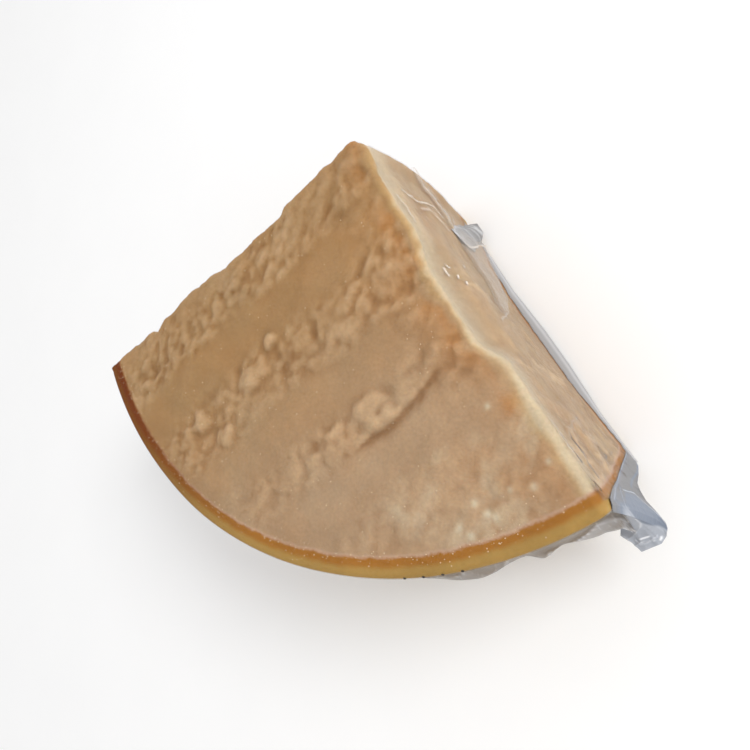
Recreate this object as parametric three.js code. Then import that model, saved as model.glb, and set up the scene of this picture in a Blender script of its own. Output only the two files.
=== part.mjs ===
// One eighth of a wheel of hard ripened cheese, cracked by hand and sealed in a clear vacuum bag.
// Millimetres, +Z up. The block lies on its plate rind with the broken half-height face up.
// The origin is on the plate, halfway between the wheel's axis and the arc. The arc faces -Y.
import * as THREE from 'three';

// The whole wheel that the block was cracked from
const wheelRadius = 211;
const blockHeight = 112;
const sectorAngle = THREE.MathUtils.degToRad(92.6);
const axisBehindOrigin = wheelRadius / 2;
const rindThickness = 7;

// The barrel side draws in from the half-height face down to the plate
const barrelInset = 27;
const barrelPower = 1.3;
const rimRadius = 5;

// The two broken radial faces lean out towards the plate. The foot of the right one is hollow along
// its length and bulges near the apex, and the edge under the apex stands out, most at mid height.
const rightFaceFlare = 3.5;
const leftFaceFlare = 2;
const rightFootHollow = 3.2;
const footBulge = { fromApex: 33, reach: 17, height: 2.8 };
const apexBulge = { reach: 14, height: 5, topReach: 24, top: 3.7 };

// Corners seen from above, as the reach of their rounding, and the rounding of the top edges
const apexRounding = 9.5;
const rindCornerRounding = 1.6;
const brokenEdgeRadius = 3;
const rindEdgeRadius = 2.5;

// Cracked surface: rounded crags and softer lumps over a slow swell. They are drawn out along the grain,
// which runs from the wheel's axis to its side, bent a little out of line, and lean to -X. Some patches
// are stronger than others, and the right face crumbles more towards its rind.
const grainStretch = 1.25;
const grainBend = { size: 11, reach: 2.2 };
const crag = { size: 7.6, height: 1.5 };
const lumps = [
  { size: 17, height: 1.7, seed: 99 },
  { size: 8, height: 0.8, seed: 101 },
];
const lean = 0.6;
const patches = { size: 24, change: 0.45 };
const swell = { size: 46, height: 1.1 };
const faceRoughness = { left: 0.5, right: 0.3 };
const cornerCrumble = { from: 150, to: 172, more: 0.12 };

// Rough bands of the top face, measured across from the left face's line, with nearly smooth strips
// between them. A stretch along the right face is rough too, and the relief calms down at the edges.
const bandEdgeWidth = 5;
const bandWobble = { size: 26, height: 4 };
const roughBands = [
  { from: -30, to: 28, strength: 1 },
  { from: 56, to: 87, strength: 0.85 },
  { from: 113, to: 134, strength: 0.8 },
  { from: 160, to: 197, strength: 0.5 },
];
const roughEdge = { along: 34, across: 150, strength: 0.45 };
const stripRoughness = 0.07;
const calmEdge = 9;

// Single boulders and pits that stand out, as distance from the left face's line, distance from the
// right face, half sizes along those two directions and height. Their edges are ragged.
const boulders = [
  { across: 66, along: 116, halfAcross: 8, halfAlong: 11, height: 3.6 },
  { across: 57, along: 97, halfAcross: 5, halfAlong: 6, height: 3.2 },
  { across: 65, along: 158, halfAcross: 7, halfAlong: 8, height: 3 },
  { across: 122, along: 66, halfAcross: 8, halfAlong: 13, height: 3 },
  { across: 82, along: 146, halfAcross: 5, halfAlong: 7, height: 2.6 },
  { across: 69, along: 72, halfAcross: 7, halfAlong: 4, height: -1.6 },
  { across: 18, along: 12, halfAcross: 9, halfAlong: 8, height: -1.2 },
  { across: 4, along: 4, halfAcross: 15, halfAlong: 15, height: 2.5 },
];
const boulderEdge = { size: 6, reach: 3 };

// A crack where a thin flake stands over the face below it, as points from the right face inwards
const crease = {
  along: [28, 45, 60, 78],
  across: [126, 130, 131, 132],
  drop: 2.8,
  reach: 9,
};

// The left face stands out from its line by this much, and its edge steps in and out again where flakes
// came off, both counted from the apex
const leftStandOut = { fromApex: [0, 20, 150, 170, 211], out: [0.5, 2.2, 2.2, 3.6, 3.6] };
const leftSteps = [
  { from: 56, to: 110, depth: 1.8 },
  { from: 161, to: 168, depth: 3 },
];

// Flakes have come off along the top of the right face
const rightScars = [
  { from: 70, to: 135, depth: 6.5, height: 34 },
  { from: 16, to: 72, depth: 2.2, height: 12 },
];

// The loose parts of the bag: its flat seam stands out from the block, with an ear at the right corner
// and a crumpled tab under the apex. Place is counted as in outlinePoint.
const seamThickness = 1.6;
const seamClearance = 1.3;
const seamRipple = { size: 17, height: 2.2 };
const earDroop = 8;
const seamStations = [
  { place: 1.8, height: 60, width: 1.5 },
  { place: 1.62, height: 60, width: 14.5 },
  { place: 1.48, height: 60, width: 14.5 },
  { place: 1.33, height: 58, width: 9.5 },
  { place: 1.28, height: 58, width: 12.5 },
  { place: 1.22, height: 57, width: 9.5 },
  { place: 1.12, height: 54, width: 12 },
  { place: 1.078, height: 52, width: 12 },
  { place: 1.066, height: 51, width: 24, radial: true },
  { place: 1.01, height: 50, width: 26, radial: true },
  { place: 0.986, height: 48, width: 23, radial: true, aside: 3 },
  { place: 0.974, height: 45, width: 6 },
  { place: 0.94, height: 38, width: 5.5 },
  { place: 0.915, height: 22, width: 2.4 },
  { place: 0.89, height: 9, width: 2 },
  { place: 0.86, height: 4, width: 1.2 },
  { place: 0.76, height: 4, width: 1.5 },
  { place: 0.66, height: 4, width: 2.6 },
  { place: 0.17, height: 4, width: 2.6 },
  { place: 0.14, height: 5, width: 6 },
  { place: 0.085, height: 6, width: 7 },
  { place: 0.06, height: 5, width: 2.5 },
  { place: 0.03, height: 4, width: 1.2 },
];

// Mesh fineness, the stretch of outline that the top edge's direction is averaged over, and how often
// the cells of the top face are evened out
const pointsPerSide = 40;
const wallRows = 13;
const edgeRows = 2;
const seamSteps = 75;
const cornerStep = 0.045;
const eveningPasses = 12;

// Colours
const pasteColour = 0xb79468;
const filmColour = 0xb9bfcc;

const axis = new THREE.Vector2(0, axisBehindOrigin);
const towardsRight = new THREE.Vector2(Math.sin(sectorAngle / 2), -Math.cos(sectorAngle / 2));
const towardsLeft = new THREE.Vector2(-towardsRight.x, towardsRight.y);
const rightOut = new THREE.Vector2(-towardsRight.y, towardsRight.x);
const leftOut = new THREE.Vector2(-rightOut.x, rightOut.y);

const clamp01 = (value) => Math.min(Math.max(value, 0), 1);
const smoothStep = (from, to, value) => {
  const part = clamp01((value - from) / (to - from));
  return part * part * (3 - 2 * part);
};
const fraction = (value) => value - Math.floor(value);

// Value on a bent line given as rising positions and their heights
function alongLine(value, positions, heights) {
  const last = positions.length - 1;
  if (value <= positions[0]) return heights[0];
  if (value >= positions[last]) return heights[last];
  const next = positions.findIndex((position) => position >= value);
  const part = (value - positions[next - 1]) / (positions[next] - positions[next - 1]);
  return THREE.MathUtils.lerp(heights[next - 1], heights[next], part);
}

// A repeatable number from 0 to 1 for a lattice point
function lattice(i, j, k, seed) {
  return fraction(Math.sin(i * 127.1 + j * 311.7 + k * 74.7 + seed * 53.3) * 43758.5453);
}

// Smooth random swell from -1 to 1
function waves(x, y, z, size, seed) {
  const cell = [x, y, z].map((value) => Math.floor(value / size));
  const [fx, fy, fz] = [x, y, z].map((value) => smoothStep(0, 1, fraction(value / size)));
  let sum = 0;
  for (let corner = 0; corner < 8; corner += 1) {
    const [a, b, c] = [corner & 1, (corner >> 1) & 1, (corner >> 2) & 1];
    const share = (a ? fx : 1 - fx) * (b ? fy : 1 - fy) * (c ? fz : 1 - fz);
    sum += share * lattice(cell[0] + a, cell[1] + b, cell[2] + c, seed);
  }
  return sum * 2 - 1;
}

// Rounded crags with sharp valleys between them, from 0 in a valley to 1 on a crown
function crags(x, y, z, size, seed) {
  const cell = [x, y, z].map((value) => Math.floor(value / size));
  let crown = 0;
  for (let a = -1; a <= 1; a += 1) {
    for (let b = -1; b <= 1; b += 1) {
      for (let c = -1; c <= 1; c += 1) {
        const [i, j, k] = [cell[0] + a, cell[1] + b, cell[2] + c];
        const dx = (i + lattice(i, j, k, seed)) * size - x;
        const dy = (j + lattice(i, j, k, seed + 1)) * size - y;
        const dz = (k + lattice(i, j, k, seed + 2)) * size - z;
        const reach = size * (0.75 + 0.45 * lattice(i, j, k, seed + 3));
        crown = Math.max(crown, 1 - (dx * dx + dy * dy + dz * dz) / (reach * reach));
      }
    }
  }
  return crown;
}

// Height of cracked paste, about zero on average
function crackedRelief(x, y, z) {
  const grainY = y / grainStretch;
  const bend = (seed) => grainBend.reach * waves(x, grainY, z, grainBend.size, seed);
  const bentX = x + bend(11);
  const bentY = grainY + bend(13);
  const leant = bentX + lean * crag.height * (crags(bentX, bentY, z, crag.size, 1) - 0.6);
  let relief = crag.height * (crags(leant, bentY, z, crag.size, 1) - 0.6);
  for (const lump of lumps) relief += lump.height * waves(leant, bentY, z, lump.size, lump.seed);
  return relief * (1 + patches.change * waves(leant, bentY, z, patches.size, 107));
}

// Radius of the barrel side at a height
function barrelRadius(height) {
  const down = 1 - height / blockHeight;
  const rim = Math.max(rimRadius - height, 0);
  const rimInset = rimRadius - Math.sqrt(rimRadius * rimRadius - rim * rim);
  return wheelRadius - barrelInset * Math.max(down, 0) ** barrelPower - rimInset;
}

// Outline at a height. Place runs clockwise seen from above: 0 at the apex, 1 at the right corner,
// 2 at the middle of the arc, 3 at the left corner and 4 at the apex again.
function outlinePoint(place, height) {
  const turn = ((place % 4) + 4) % 4;
  const radius = barrelRadius(height);
  const down = 1 - height / blockHeight;
  const right = rightFaceFlare * down;
  const left = leftFaceFlare * down;
  const apex = axis.clone()
    .addScaledVector(towardsRight, -left / Math.sin(sectorAngle))
    .addScaledVector(towardsLeft, -right / Math.sin(sectorAngle));
  const rightCorner = axis.clone().addScaledVector(rightOut, right)
    .addScaledVector(towardsRight, Math.sqrt(radius * radius - right * right));
  const leftCorner = axis.clone().addScaledVector(leftOut, left)
    .addScaledVector(towardsLeft, Math.sqrt(radius * radius - left * left));
  const rightLength = rightCorner.distanceTo(apex);
  const leftLength = leftCorner.distanceTo(apex);
  const firstAngle = rightCorner.clone().sub(axis).angle();
  const sweep = sectorAngle + Math.asin(right / radius) + Math.asin(left / radius);
  const point = new THREE.Vector2();
  if (turn <= 1) {
    point.lerpVectors(apex, rightCorner, turn);
  } else if (turn < 3) {
    const angle = firstAngle - (sweep * (turn - 1)) / 2;
    point.set(Math.cos(angle), Math.sin(angle)).multiplyScalar(radius).add(axis);
  } else {
    point.lerpVectors(leftCorner, apex, turn - 3);
  }
  // Each corner draws the outline in by half of what a hyperbola falls short of its two lines
  const arcLength = (radius * sweep) / 2;
  const pullIn = (distance, reach) => (Math.hypot(distance, reach) - Math.abs(distance)) / 2;
  const fromApex = turn <= 2 ? turn * rightLength : (turn - 4) * leftLength;
  const fromRight = (turn - 1) * (turn < 1 ? rightLength : arcLength);
  const fromLeft = (turn - 3) * (turn < 3 ? arcLength : leftLength);
  const intoBlock = towardsRight.clone().add(towardsLeft);
  point.addScaledVector(intoBlock, pullIn(fromApex, apexRounding));
  const atRight = rightOut.clone().add(towardsRight).negate();
  point.addScaledVector(atRight, pullIn(fromRight, rindCornerRounding));
  const atLeft = leftOut.clone().add(towardsLeft).negate();
  point.addScaledVector(atLeft, pullIn(fromLeft, rindCornerRounding));
  return point;
}

// Outward direction of the outline in plan, as an average over a step to either side
function outlineNormal(place, height, step = 0.004) {
  const along = outlinePoint(place + step, height).sub(outlinePoint(place - step, height)).normalize();
  return new THREE.Vector2(-along.y, along.x);
}

// Share of broken paste at a place on the outline, and of rind as the rest
function brokenShare(place) {
  const turn = ((place % 4) + 4) % 4;
  const intoArc = Math.min(turn - 1, 3 - turn);
  return 1 - smoothStep(-0.03, 0.015, intoArc);
}

// How far the surface of the wall stands out from the plain outline
function wallRelief(place, x, y, height) {
  const turn = ((place % 4) + 4) % 4;
  const onRight = clamp01(1 - smoothStep(0.97, 1.02, turn) + smoothStep(3.97, 4, turn));
  const crumble = smoothStep(cornerCrumble.from, cornerCrumble.to, turn * wheelRadius);
  const calm = 1 - 0.65 * smoothStep(blockHeight - 16, blockHeight - 2, height);
  const rightRoughness = (faceRoughness.right + cornerCrumble.more * crumble) * calm;
  const roughness = THREE.MathUtils.lerp(faceRoughness.left, rightRoughness, onRight);
  const broken = brokenShare(place);
  const slow = waves(x, y, height, swell.size, 21);
  let relief = broken * (roughness * crackedRelief(x, y, height) + 0.8 * slow);
  relief += (1 - broken) * 0.35 * slow;
  const fromApex = Math.min(turn, 4 - turn) * wheelRadius;
  const down = clamp01(1 - height / blockHeight);
  const nearApex = 1 - smoothStep(0, apexBulge.reach, fromApex);
  relief += nearApex * apexBulge.height * Math.sin(Math.PI * down);
  relief += apexBulge.top * (1 - smoothStep(0, apexBulge.topReach, fromApex));
  if (turn < 1) {
    const nearBulge = Math.exp(-(((fromApex - footBulge.fromApex) / footBulge.reach) ** 2));
    relief += footBulge.height * down * nearBulge;
    relief -= rightFootHollow * down * Math.sin(Math.PI * turn);
    for (const scar of rightScars) {
      const length = smoothStep(scar.from - 9, scar.from + 14, fromApex)
        * (1 - smoothStep(scar.to - 9, scar.to + 7, fromApex));
      relief -= scar.depth * length * smoothStep(blockHeight - scar.height, blockHeight, height);
    }
  } else if (turn > 3) {
    relief += alongLine(fromApex, leftStandOut.fromApex, leftStandOut.out);
    for (const step of leftSteps) {
      const length = smoothStep(step.from - 3, step.from + 3, fromApex)
        * (1 - smoothStep(step.to - 3, step.to + 3, fromApex));
      relief -= step.depth * length;
    }
  }
  return relief;
}

// A point of the wall with its relief
function wallPoint(place, height) {
  const point = outlinePoint(place, height);
  const relief = wallRelief(place, point.x, point.y, height);
  return point.addScaledVector(outlineNormal(place, height), relief);
}

// Strength of the rough bands at a point of the top face
function bandStrength(across, along) {
  const shifted = across + bandWobble.height * waves(across, along, 0, bandWobble.size, 31);
  let strength = 0;
  for (const band of roughBands) {
    const rise = smoothStep(band.from - bandEdgeWidth, band.from + bandEdgeWidth, shifted);
    const fall = smoothStep(band.to - bandEdgeWidth, band.to + bandEdgeWidth, shifted);
    strength += band.strength * rise * (1 - fall);
  }
  const bentAlong = along + shifted - across;
  const byEdge = (1 - smoothStep(roughEdge.along - 12, roughEdge.along + 8, bentAlong))
    * (1 - smoothStep(roughEdge.across - 15, roughEdge.across + 5, across));
  return Math.max(strength, roughEdge.strength * byEdge);
}

// A step down at the crack in the third band, which the face below climbs out of again
function creaseRelief(across, along) {
  const wobble = 1.3 * waves(along, 0, 0, 7, 33);
  const below = across - alongLine(along, crease.along, crease.across) - wobble;
  const [first, last] = [crease.along[0], crease.along[crease.along.length - 1]];
  const length = smoothStep(first - 6, first + 6, along) * (1 - smoothStep(last - 8, last + 10, along));
  return -crease.drop * length * smoothStep(-0.7, 0.7, below) * Math.exp(-Math.max(below, 0) / crease.reach);
}

// How far the top face stands above the plain half-height plane
function topRelief(x, y) {
  const offset = new THREE.Vector2(x, y).sub(axis);
  const across = offset.dot(towardsRight);
  const along = -offset.dot(rightOut);
  const fromRind = wheelRadius - rindThickness - offset.length();
  let relief = swell.height * waves(x, y, blockHeight, swell.size, 21);
  const calm = smoothStep(-1, calmEdge, Math.min(across, along));
  const strength = stripRoughness + bandStrength(across, along);
  relief += (0.3 + 0.7 * calm) * strength * crackedRelief(x, y, blockHeight);
  relief += creaseRelief(across, along);
  const ragged = (seed) => boulderEdge.reach * waves(x, y, blockHeight, boulderEdge.size, seed);
  const [raggedAcross, raggedAlong] = [ragged(35), ragged(37)];
  for (const boulder of boulders) {
    const a = (across - boulder.across + raggedAcross) / boulder.halfAcross;
    const b = (along - boulder.along + raggedAlong) / boulder.halfAlong;
    relief += boulder.height * Math.max(0, 1 - a * a - b * b);
  }
  return relief * smoothStep(-4, 14, fromRind);
}

// Rounding radius of the top edge
function edgeRadius(place) {
  const broken = brokenShare(place);
  const uneven = 1 + 0.45 * waves(place * 14, 0, 0, 1, 41);
  return THREE.MathUtils.lerp(rindEdgeRadius, brokenEdgeRadius * uneven, broken);
}

// One column of the block's skin, from the plate up the wall and over the rounded top edge
function skinColumn(place) {
  const radius = edgeRadius(place);
  const inward = outlineNormal(place, blockHeight, cornerStep).negate();
  const rimPoint = wallPoint(place, blockHeight).addScaledVector(inward, radius);
  const topHeight = blockHeight + topRelief(rimPoint.x, rimPoint.y);
  const column = [];
  for (let row = 0; row <= wallRows; row += 1) {
    const height = ((topHeight - radius) * row) / wallRows;
    const point = wallPoint(place, height);
    column.push(new THREE.Vector3(point.x, point.y, height));
  }
  for (let row = 1; row <= edgeRows; row += 1) {
    const angle = (Math.PI / 2) * (row / edgeRows);
    const height = topHeight - radius * (1 - Math.sin(angle));
    const point = wallPoint(place, Math.min(height, blockHeight));
    point.addScaledVector(inward, radius * (1 - Math.cos(angle)));
    column.push(new THREE.Vector3(point.x, point.y, height));
  }
  return column;
}

function geometryFrom(points, triangles) {
  const geometry = new THREE.BufferGeometry();
  const flat = points.flatMap((point) => [point.x, point.y, point.z]);
  geometry.setAttribute('position', new THREE.Float32BufferAttribute(flat, 3));
  geometry.setIndex(triangles);
  geometry.computeVertexNormals();
  return geometry;
}

function buildCheese() {
  const around = pointsPerSide * 4;
  const rings = wallRows + edgeRows;
  const points = [];
  const triangles = [];
  for (let column = 0; column < around; column += 1) {
    points.push(...skinColumn(column / pointsPerSide));
  }
  const skin = (column, ring) => (column % around) * (rings + 1) + ring;
  for (let column = 0; column < around; column += 1) {
    for (let ring = 0; ring < rings; ring += 1) {
      const [a, b] = [skin(column, ring), skin(column, ring + 1)];
      const [c, d] = [skin(column + 1, ring), skin(column + 1, ring + 1)];
      triangles.push(a, b, c, b, d, c);
    }
  }
  // The top face is a grid stretched between the four sides of its rim
  const side = pointsPerSide;
  const rim = (column) => points[skin(column, rings)];
  const topIndex = [];
  const inner = [];
  for (let i = 0; i <= side; i += 1) {
    topIndex.push([]);
    for (let j = 0; j <= side; j += 1) {
      if (j === 0) topIndex[i].push(skin(i, rings));
      else if (i === side) topIndex[i].push(skin(side + j, rings));
      else if (j === side) topIndex[i].push(skin(3 * side - i, rings));
      else if (i === 0) topIndex[i].push(skin(4 * side - j, rings));
      else {
        const [s, t] = [i / side, j / side];
        const blend = (axisName) => (1 - t) * rim(i)[axisName] + t * rim(3 * side - i)[axisName]
          + (1 - s) * rim(4 * side - j)[axisName] + s * rim(side + j)[axisName]
          - (1 - s) * (1 - t) * rim(0)[axisName] - s * (1 - t) * rim(side)[axisName]
          - s * t * rim(2 * side)[axisName] - (1 - s) * t * rim(3 * side)[axisName];
        topIndex[i].push(points.length);
        inner.push([i, j]);
        points.push(new THREE.Vector3(blend('x'), blend('y'), blockHeight));
      }
    }
  }
  // Each inner point moves to the middle of its neighbours, so that the cells don't fold at the rim
  for (let pass = 0; pass < eveningPasses; pass += 1) {
    const moved = inner.map(([i, j]) => {
      const beside = [[i - 1, j], [i + 1, j], [i, j - 1], [i, j + 1]];
      const middle = new THREE.Vector3();
      for (const [a, b] of beside) middle.add(points[topIndex[a][b]]);
      return middle.multiplyScalar(0.25);
    });
    inner.forEach(([i, j], at) => points[topIndex[i][j]].set(moved[at].x, moved[at].y, blockHeight));
  }
  for (const [i, j] of inner) {
    const point = points[topIndex[i][j]];
    point.z += topRelief(point.x, point.y);
  }
  for (let i = 0; i < side; i += 1) {
    for (let j = 0; j < side; j += 1) {
      const [a, b] = [topIndex[i][j], topIndex[i][j + 1]];
      const [c, d] = [topIndex[i + 1][j], topIndex[i + 1][j + 1]];
      triangles.push(a, b, c, b, d, c);
    }
  }
  // The plate is one flat face inside the lowest ring
  const foot = [];
  for (let column = around - 1; column >= 0; column -= 1) foot.push(skin(column, 0));
  const contour = foot.map((index) => new THREE.Vector2(points[index].x, points[index].y));
  for (const [a, b, c] of THREE.ShapeUtils.triangulateShape(contour, [])) {
    triangles.push(foot[a], foot[c], foot[b]);
  }
  return geometryFrom(points, triangles);
}

// A value of the seam's stations at a place, changing smoothly between them
function seamValue(place, read) {
  let index = 0;
  while (index < seamStations.length - 2 && seamStations[index + 1].place > place) index += 1;
  const [before, after] = [seamStations[index], seamStations[index + 1]];
  const part = smoothStep(before.place, after.place, place);
  return THREE.MathUtils.lerp(read(before), read(after), part);
}

// The seam is a thin strip that follows the wall, three points wide
function buildBag() {
  const first = seamStations[0].place;
  const last = seamStations[seamStations.length - 1].place;
  const places = seamStations.map((station) => station.place);
  for (let step = 1; step < seamSteps; step += 1) {
    places.push(THREE.MathUtils.lerp(first, last, step / seamSteps));
  }
  places.sort((a, b) => b - a);
  const points = [];
  for (const place of places) {
    const height = seamValue(place, (station) => station.height);
    const ripple = seamRipple.height * waves(place * 190, 0, 0, seamRipple.size, 51);
    const radialShare = seamValue(place, (station) => (station.radial ? 1 : 0));
    const aside = seamValue(place, (station) => station.aside ?? 0);
    const width = seamValue(place, (station) => station.width) * (1 + 0.05 * ripple);
    const normal = outlineNormal(place, height);
    const direction = normal.clone().lerp(towardsRight, radialShare).normalize();
    const inner = wallPoint(place, height).addScaledVector(normal, seamClearance);
    const freedom = smoothStep(6, 40, height);
    for (const share of [0, 0.5, 1]) {
      const point = inner.clone().addScaledVector(direction, width * share);
      point.addScaledVector(rightOut, aside * share);
      const level = height + freedom * share * (ripple - earDroop * radialShare * share);
      points.push(new THREE.Vector3(point.x, point.y, level - seamThickness / 2));
      points.push(new THREE.Vector3(point.x, point.y, level + seamThickness / 2));
    }
  }
  const triangles = [];
  const section = 6;
  const loop = [0, 1, 3, 5, 4, 2];
  for (let station = 0; station + 1 < places.length; station += 1) {
    for (let corner = 0; corner < section; corner += 1) {
      const a = station * section + loop[corner];
      const b = station * section + loop[(corner + 1) % section];
      triangles.push(a, b, a + section, b, b + section, a + section);
    }
  }
  const end = (places.length - 1) * section;
  for (const [a, b, c] of [[0, 3, 1], [0, 2, 3], [2, 5, 3], [2, 4, 5]]) {
    triangles.push(a, b, c);
    triangles.push(end + a, end + c, end + b);
  }
  return geometryFrom(points, triangles);
}

function namedMesh(name, geometry, material) {
  const mesh = new THREE.Mesh(geometry, material);
  mesh.name = name;
  return mesh;
}

const paste = new THREE.MeshStandardMaterial({ color: pasteColour, roughness: 0.55, metalness: 0 });
const film = new THREE.MeshStandardMaterial({
  color: filmColour,
  roughness: 0.2,
  metalness: 0,
  transparent: true,
  opacity: 0.35,
});

const block = new THREE.Group();
block.add(namedMesh('cheese', buildCheese(), paste));
block.add(namedMesh('bag', buildBag(), film));

export default block;
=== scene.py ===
"""Looks of one eighth of a wheel of hard ripened cheese in its clear vacuum bag.

The block lies on its plate rind with the broken half-height face up. The origin is on the plate,
halfway between the wheel's axis and the arc, and the arc faces -Y. Sizes are in millimetres and
become metres where a mesh is made. A plan position is one complex number, x + y i.
"""
import functools
import math

import bpy
import numpy as np
from bpy.props import FloatProperty, FloatVectorProperty, IntProperty, PointerProperty
from mathutils import Euler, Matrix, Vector


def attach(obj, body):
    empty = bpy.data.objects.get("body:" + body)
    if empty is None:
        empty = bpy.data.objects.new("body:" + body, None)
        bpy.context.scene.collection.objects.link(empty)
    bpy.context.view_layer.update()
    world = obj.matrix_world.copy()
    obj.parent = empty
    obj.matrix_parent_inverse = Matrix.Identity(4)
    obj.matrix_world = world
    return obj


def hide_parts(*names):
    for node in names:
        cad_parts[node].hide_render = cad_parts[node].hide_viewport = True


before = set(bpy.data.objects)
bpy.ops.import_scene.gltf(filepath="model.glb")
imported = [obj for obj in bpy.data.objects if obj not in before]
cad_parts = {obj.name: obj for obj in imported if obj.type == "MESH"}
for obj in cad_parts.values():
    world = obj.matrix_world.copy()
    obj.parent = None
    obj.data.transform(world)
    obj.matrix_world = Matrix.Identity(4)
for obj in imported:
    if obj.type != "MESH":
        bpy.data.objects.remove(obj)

bl_info = {
    "name": "Vacuum packed hard cheese",
    "version": (1, 0, 0),
    "blender": (4, 5, 0),
    "location": "View3D > Sidebar > Cheese",
    "description": "Builds a cracked block of hard ripened cheese with its rind and its clear bag",
    "category": "Object",
}

MM = 0.001
SHARP_BEND = math.radians(75)
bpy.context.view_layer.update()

# The wheel that the block was cracked from
WHEEL_RADIUS = 211
BLOCK_HEIGHT = 112
SECTOR = math.radians(92.6)
AXIS = 1j * WHEEL_RADIUS / 2
RIND = 7

# The barrel side and the two leaning broken faces
BARREL_INSET = 27
BARREL_POWER = 1.3
RIM_RADIUS = 5
RIGHT_FLARE = 3.5
LEFT_FLARE = 2
RIGHT_FOOT_HOLLOW = 3.2
APEX_BULGE = {"reach": 14, "height": 5, "top_reach": 24, "top": 3.7}
FOOT_BULGE = {"from_apex": 33, "reach": 17, "height": 2.8}

# Borders as (from, to), in places on the outline where each side counts as 1: from rind to broken
# paste beside a corner, and where the roughness of the right face ends and starts. Then how close a
# place on the right face comes to its ends
RIND_BORDER = -0.03, 0.015
RIGHT_END = 0.97, 1.02
RIGHT_START = 3.97, 4
RIGHT_LIMITS = 0.004, 0.996

# Corners in plan and rounded edges
APEX_ROUNDING = 9.5
RIND_CORNER_ROUNDING = 1.6
BROKEN_EDGE_RADIUS = 3
RIND_EDGE_RADIUS = 2.5
EDGE_UNEVEN = {"waves_a_side": 14, "change": 0.45}

# Cracked relief as (size, height, seed) of crags, of flat chips and of softer lumps. They are drawn
# out along the grain, which runs from the wheel's axis to its side, bent a little out of line, and
# lean to -X.
GRAIN_STRETCH = 1.25
GRAIN_BEND = {"size": 11, "reach": 2.2}
CRAGS = [(7.6, 1.5, 1), (4.5, 0.95, 7)]
CHIPS = [(6, 0.35, 131), (3.4, 0.3, 137)]
LUMPS = [(17, 1.7, 99), (8, 0.8, 101), (4.2, 0.4, 103)]
LEAN = 0.6
PATCHES = {"size": 24, "change": 0.45}

# A crag's least reach and its random part in cell widths, the mean height of crags, and how much a
# chip may tilt
CRAG_REACH = 0.75, 0.45
MEAN_CRAG = 0.6
CHIP_TILT = 2.5
FAR_AWAY = 1e6

# How the faces move in slow swells and the top face in streaks, and how rough each face is, with the
# calmer and the more crumbled parts of the right face and the calmer borders of the top one
SWELL = {"size": 46, "height": 1.1, "on_broken_side": 0.8, "on_rind": 0.35}
STREAK = {"size": 9, "height": 0.35, "stretch": 3.2}
LEFT_ROUGHNESS = 0.5
RIGHT_ROUGHNESS = 0.3
CORNER_CRUMBLE = {"from": 150, "to": 172, "more": 0.12}
RIGHT_TOP_CALM = {"from": 16, "to": 2, "less": 0.65}
STRIP_ROUGHNESS = 0.07
CALM_EDGE = {"from": -1, "to": 9, "left": 0.3}
CALM_BY_RIND = {"from": -4, "to": 14}

# Rough bands of the top face as (from, to, strength), across from the left face's line, and the rough
# stretch by its right edge. Soft borders are (before, after) a mark.
ROUGH_BORDER = 5
ROUGH_WOBBLE = {"size": 26, "height": 4}
ROUGH_BANDS = [(-30, 28, 1), (56, 87, 0.85), (113, 134, 0.8), (160, 197, 0.5)]
ROUGH_EDGE = {"along": 34, "across": 150, "strength": 0.45, "soft": (12, 8), "soft_across": (15, 5)}

# Boulders and pits as (across, along, half across, half along, height), and how ragged they are
BOULDER_EDGE = {"size": 6, "reach": 3}
BOULDERS = [
    (66, 116, 8, 11, 3.6),
    (57, 97, 5, 6, 3.2),
    (65, 158, 7, 8, 3),
    (122, 66, 8, 13, 3),
    (82, 146, 5, 7, 2.6),
    (69, 72, 7, 4, -1.6),
    (18, 12, 9, 8, -1.2),
    (4, 4, 15, 15, 2.5),
]

# Round soft patches of the top face as (across, along, reach, change): darker or paler ones, orange
# ones and whitish ones. The small, strongly darker patches of the last two rows paint shade into
# pits, and the small, strong whitish spots of the last two rows are painted glints. Then crumbled
# patches of the right face as (along, reach, bottom, top)
TONE_PATCHES_AND_PIT_SHADE = [
    (168, 94, 16, -0.25), (72, 90, 10, -0.3), (70, 30, 11, 0.25), (10, 130, 14, -0.25),
    (46, 52, 14, 0.15), (132, 52, 14, 0.1), (10, 8, 12, -0.25), (190, 18, 14, -0.2),
    (20, 116, 7, -0.3), (86, 63, 9, 0.2), (4, 106, 7, 0.25), (152, 115, 9, -0.25),
    (69, 88, 2.6, -0.8), (69, 73, 2.2, -0.7), (88, 58, 2.2, -0.6), (83, 41, 2, -0.5), (125, 31, 3, -0.5),
    (20, 128, 2.2, -0.6), (27, 143, 2.2, -0.6), (12, 127, 2.5, -0.5), (12, 95, 2.2, -0.5),
]
WARM_PATCHES = [(157, 8, 5, 0.9), (118, 12, 4, 0.4), (76, 8, 4, 1), (61, 9, 3.5, 0.4), (50, 10, 4, 0.9)]
WHITE_SPOTS_AND_GLINTS = [
    (168, 57, 4.5, 0.3), (171, 62, 4, 0.25), (167, 76, 5, 0.3), (160, 29, 4, 0.2), (172, 21, 5, 0.25),
    (152, 17, 1.4, 0.9), (184, 8, 1.2, 0.8), (182, 43, 1.6, 0.9), (189, 18, 1.5, 0.8), (185, 27, 1.3, 0.7),
    (188, 40, 1.7, 0.9), (192, 51, 1.6, 0.8), (191, 38, 1.7, 0.7), (187, 54, 1.6, 0.9),
]
CRUMBLED_PATCHES = [(134, 9, 15, 92), (84, 9, 60, 98)]
CRUMBLED_CORNER = {"from": 160, "to": 178, "share": 0.7}
CRUMBLED_BORDER = 10, 10

# Two random swells as (size, seed) that make the tints' borders uneven
UNEVEN = 15, 81
FINE = 5, 83
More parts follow.
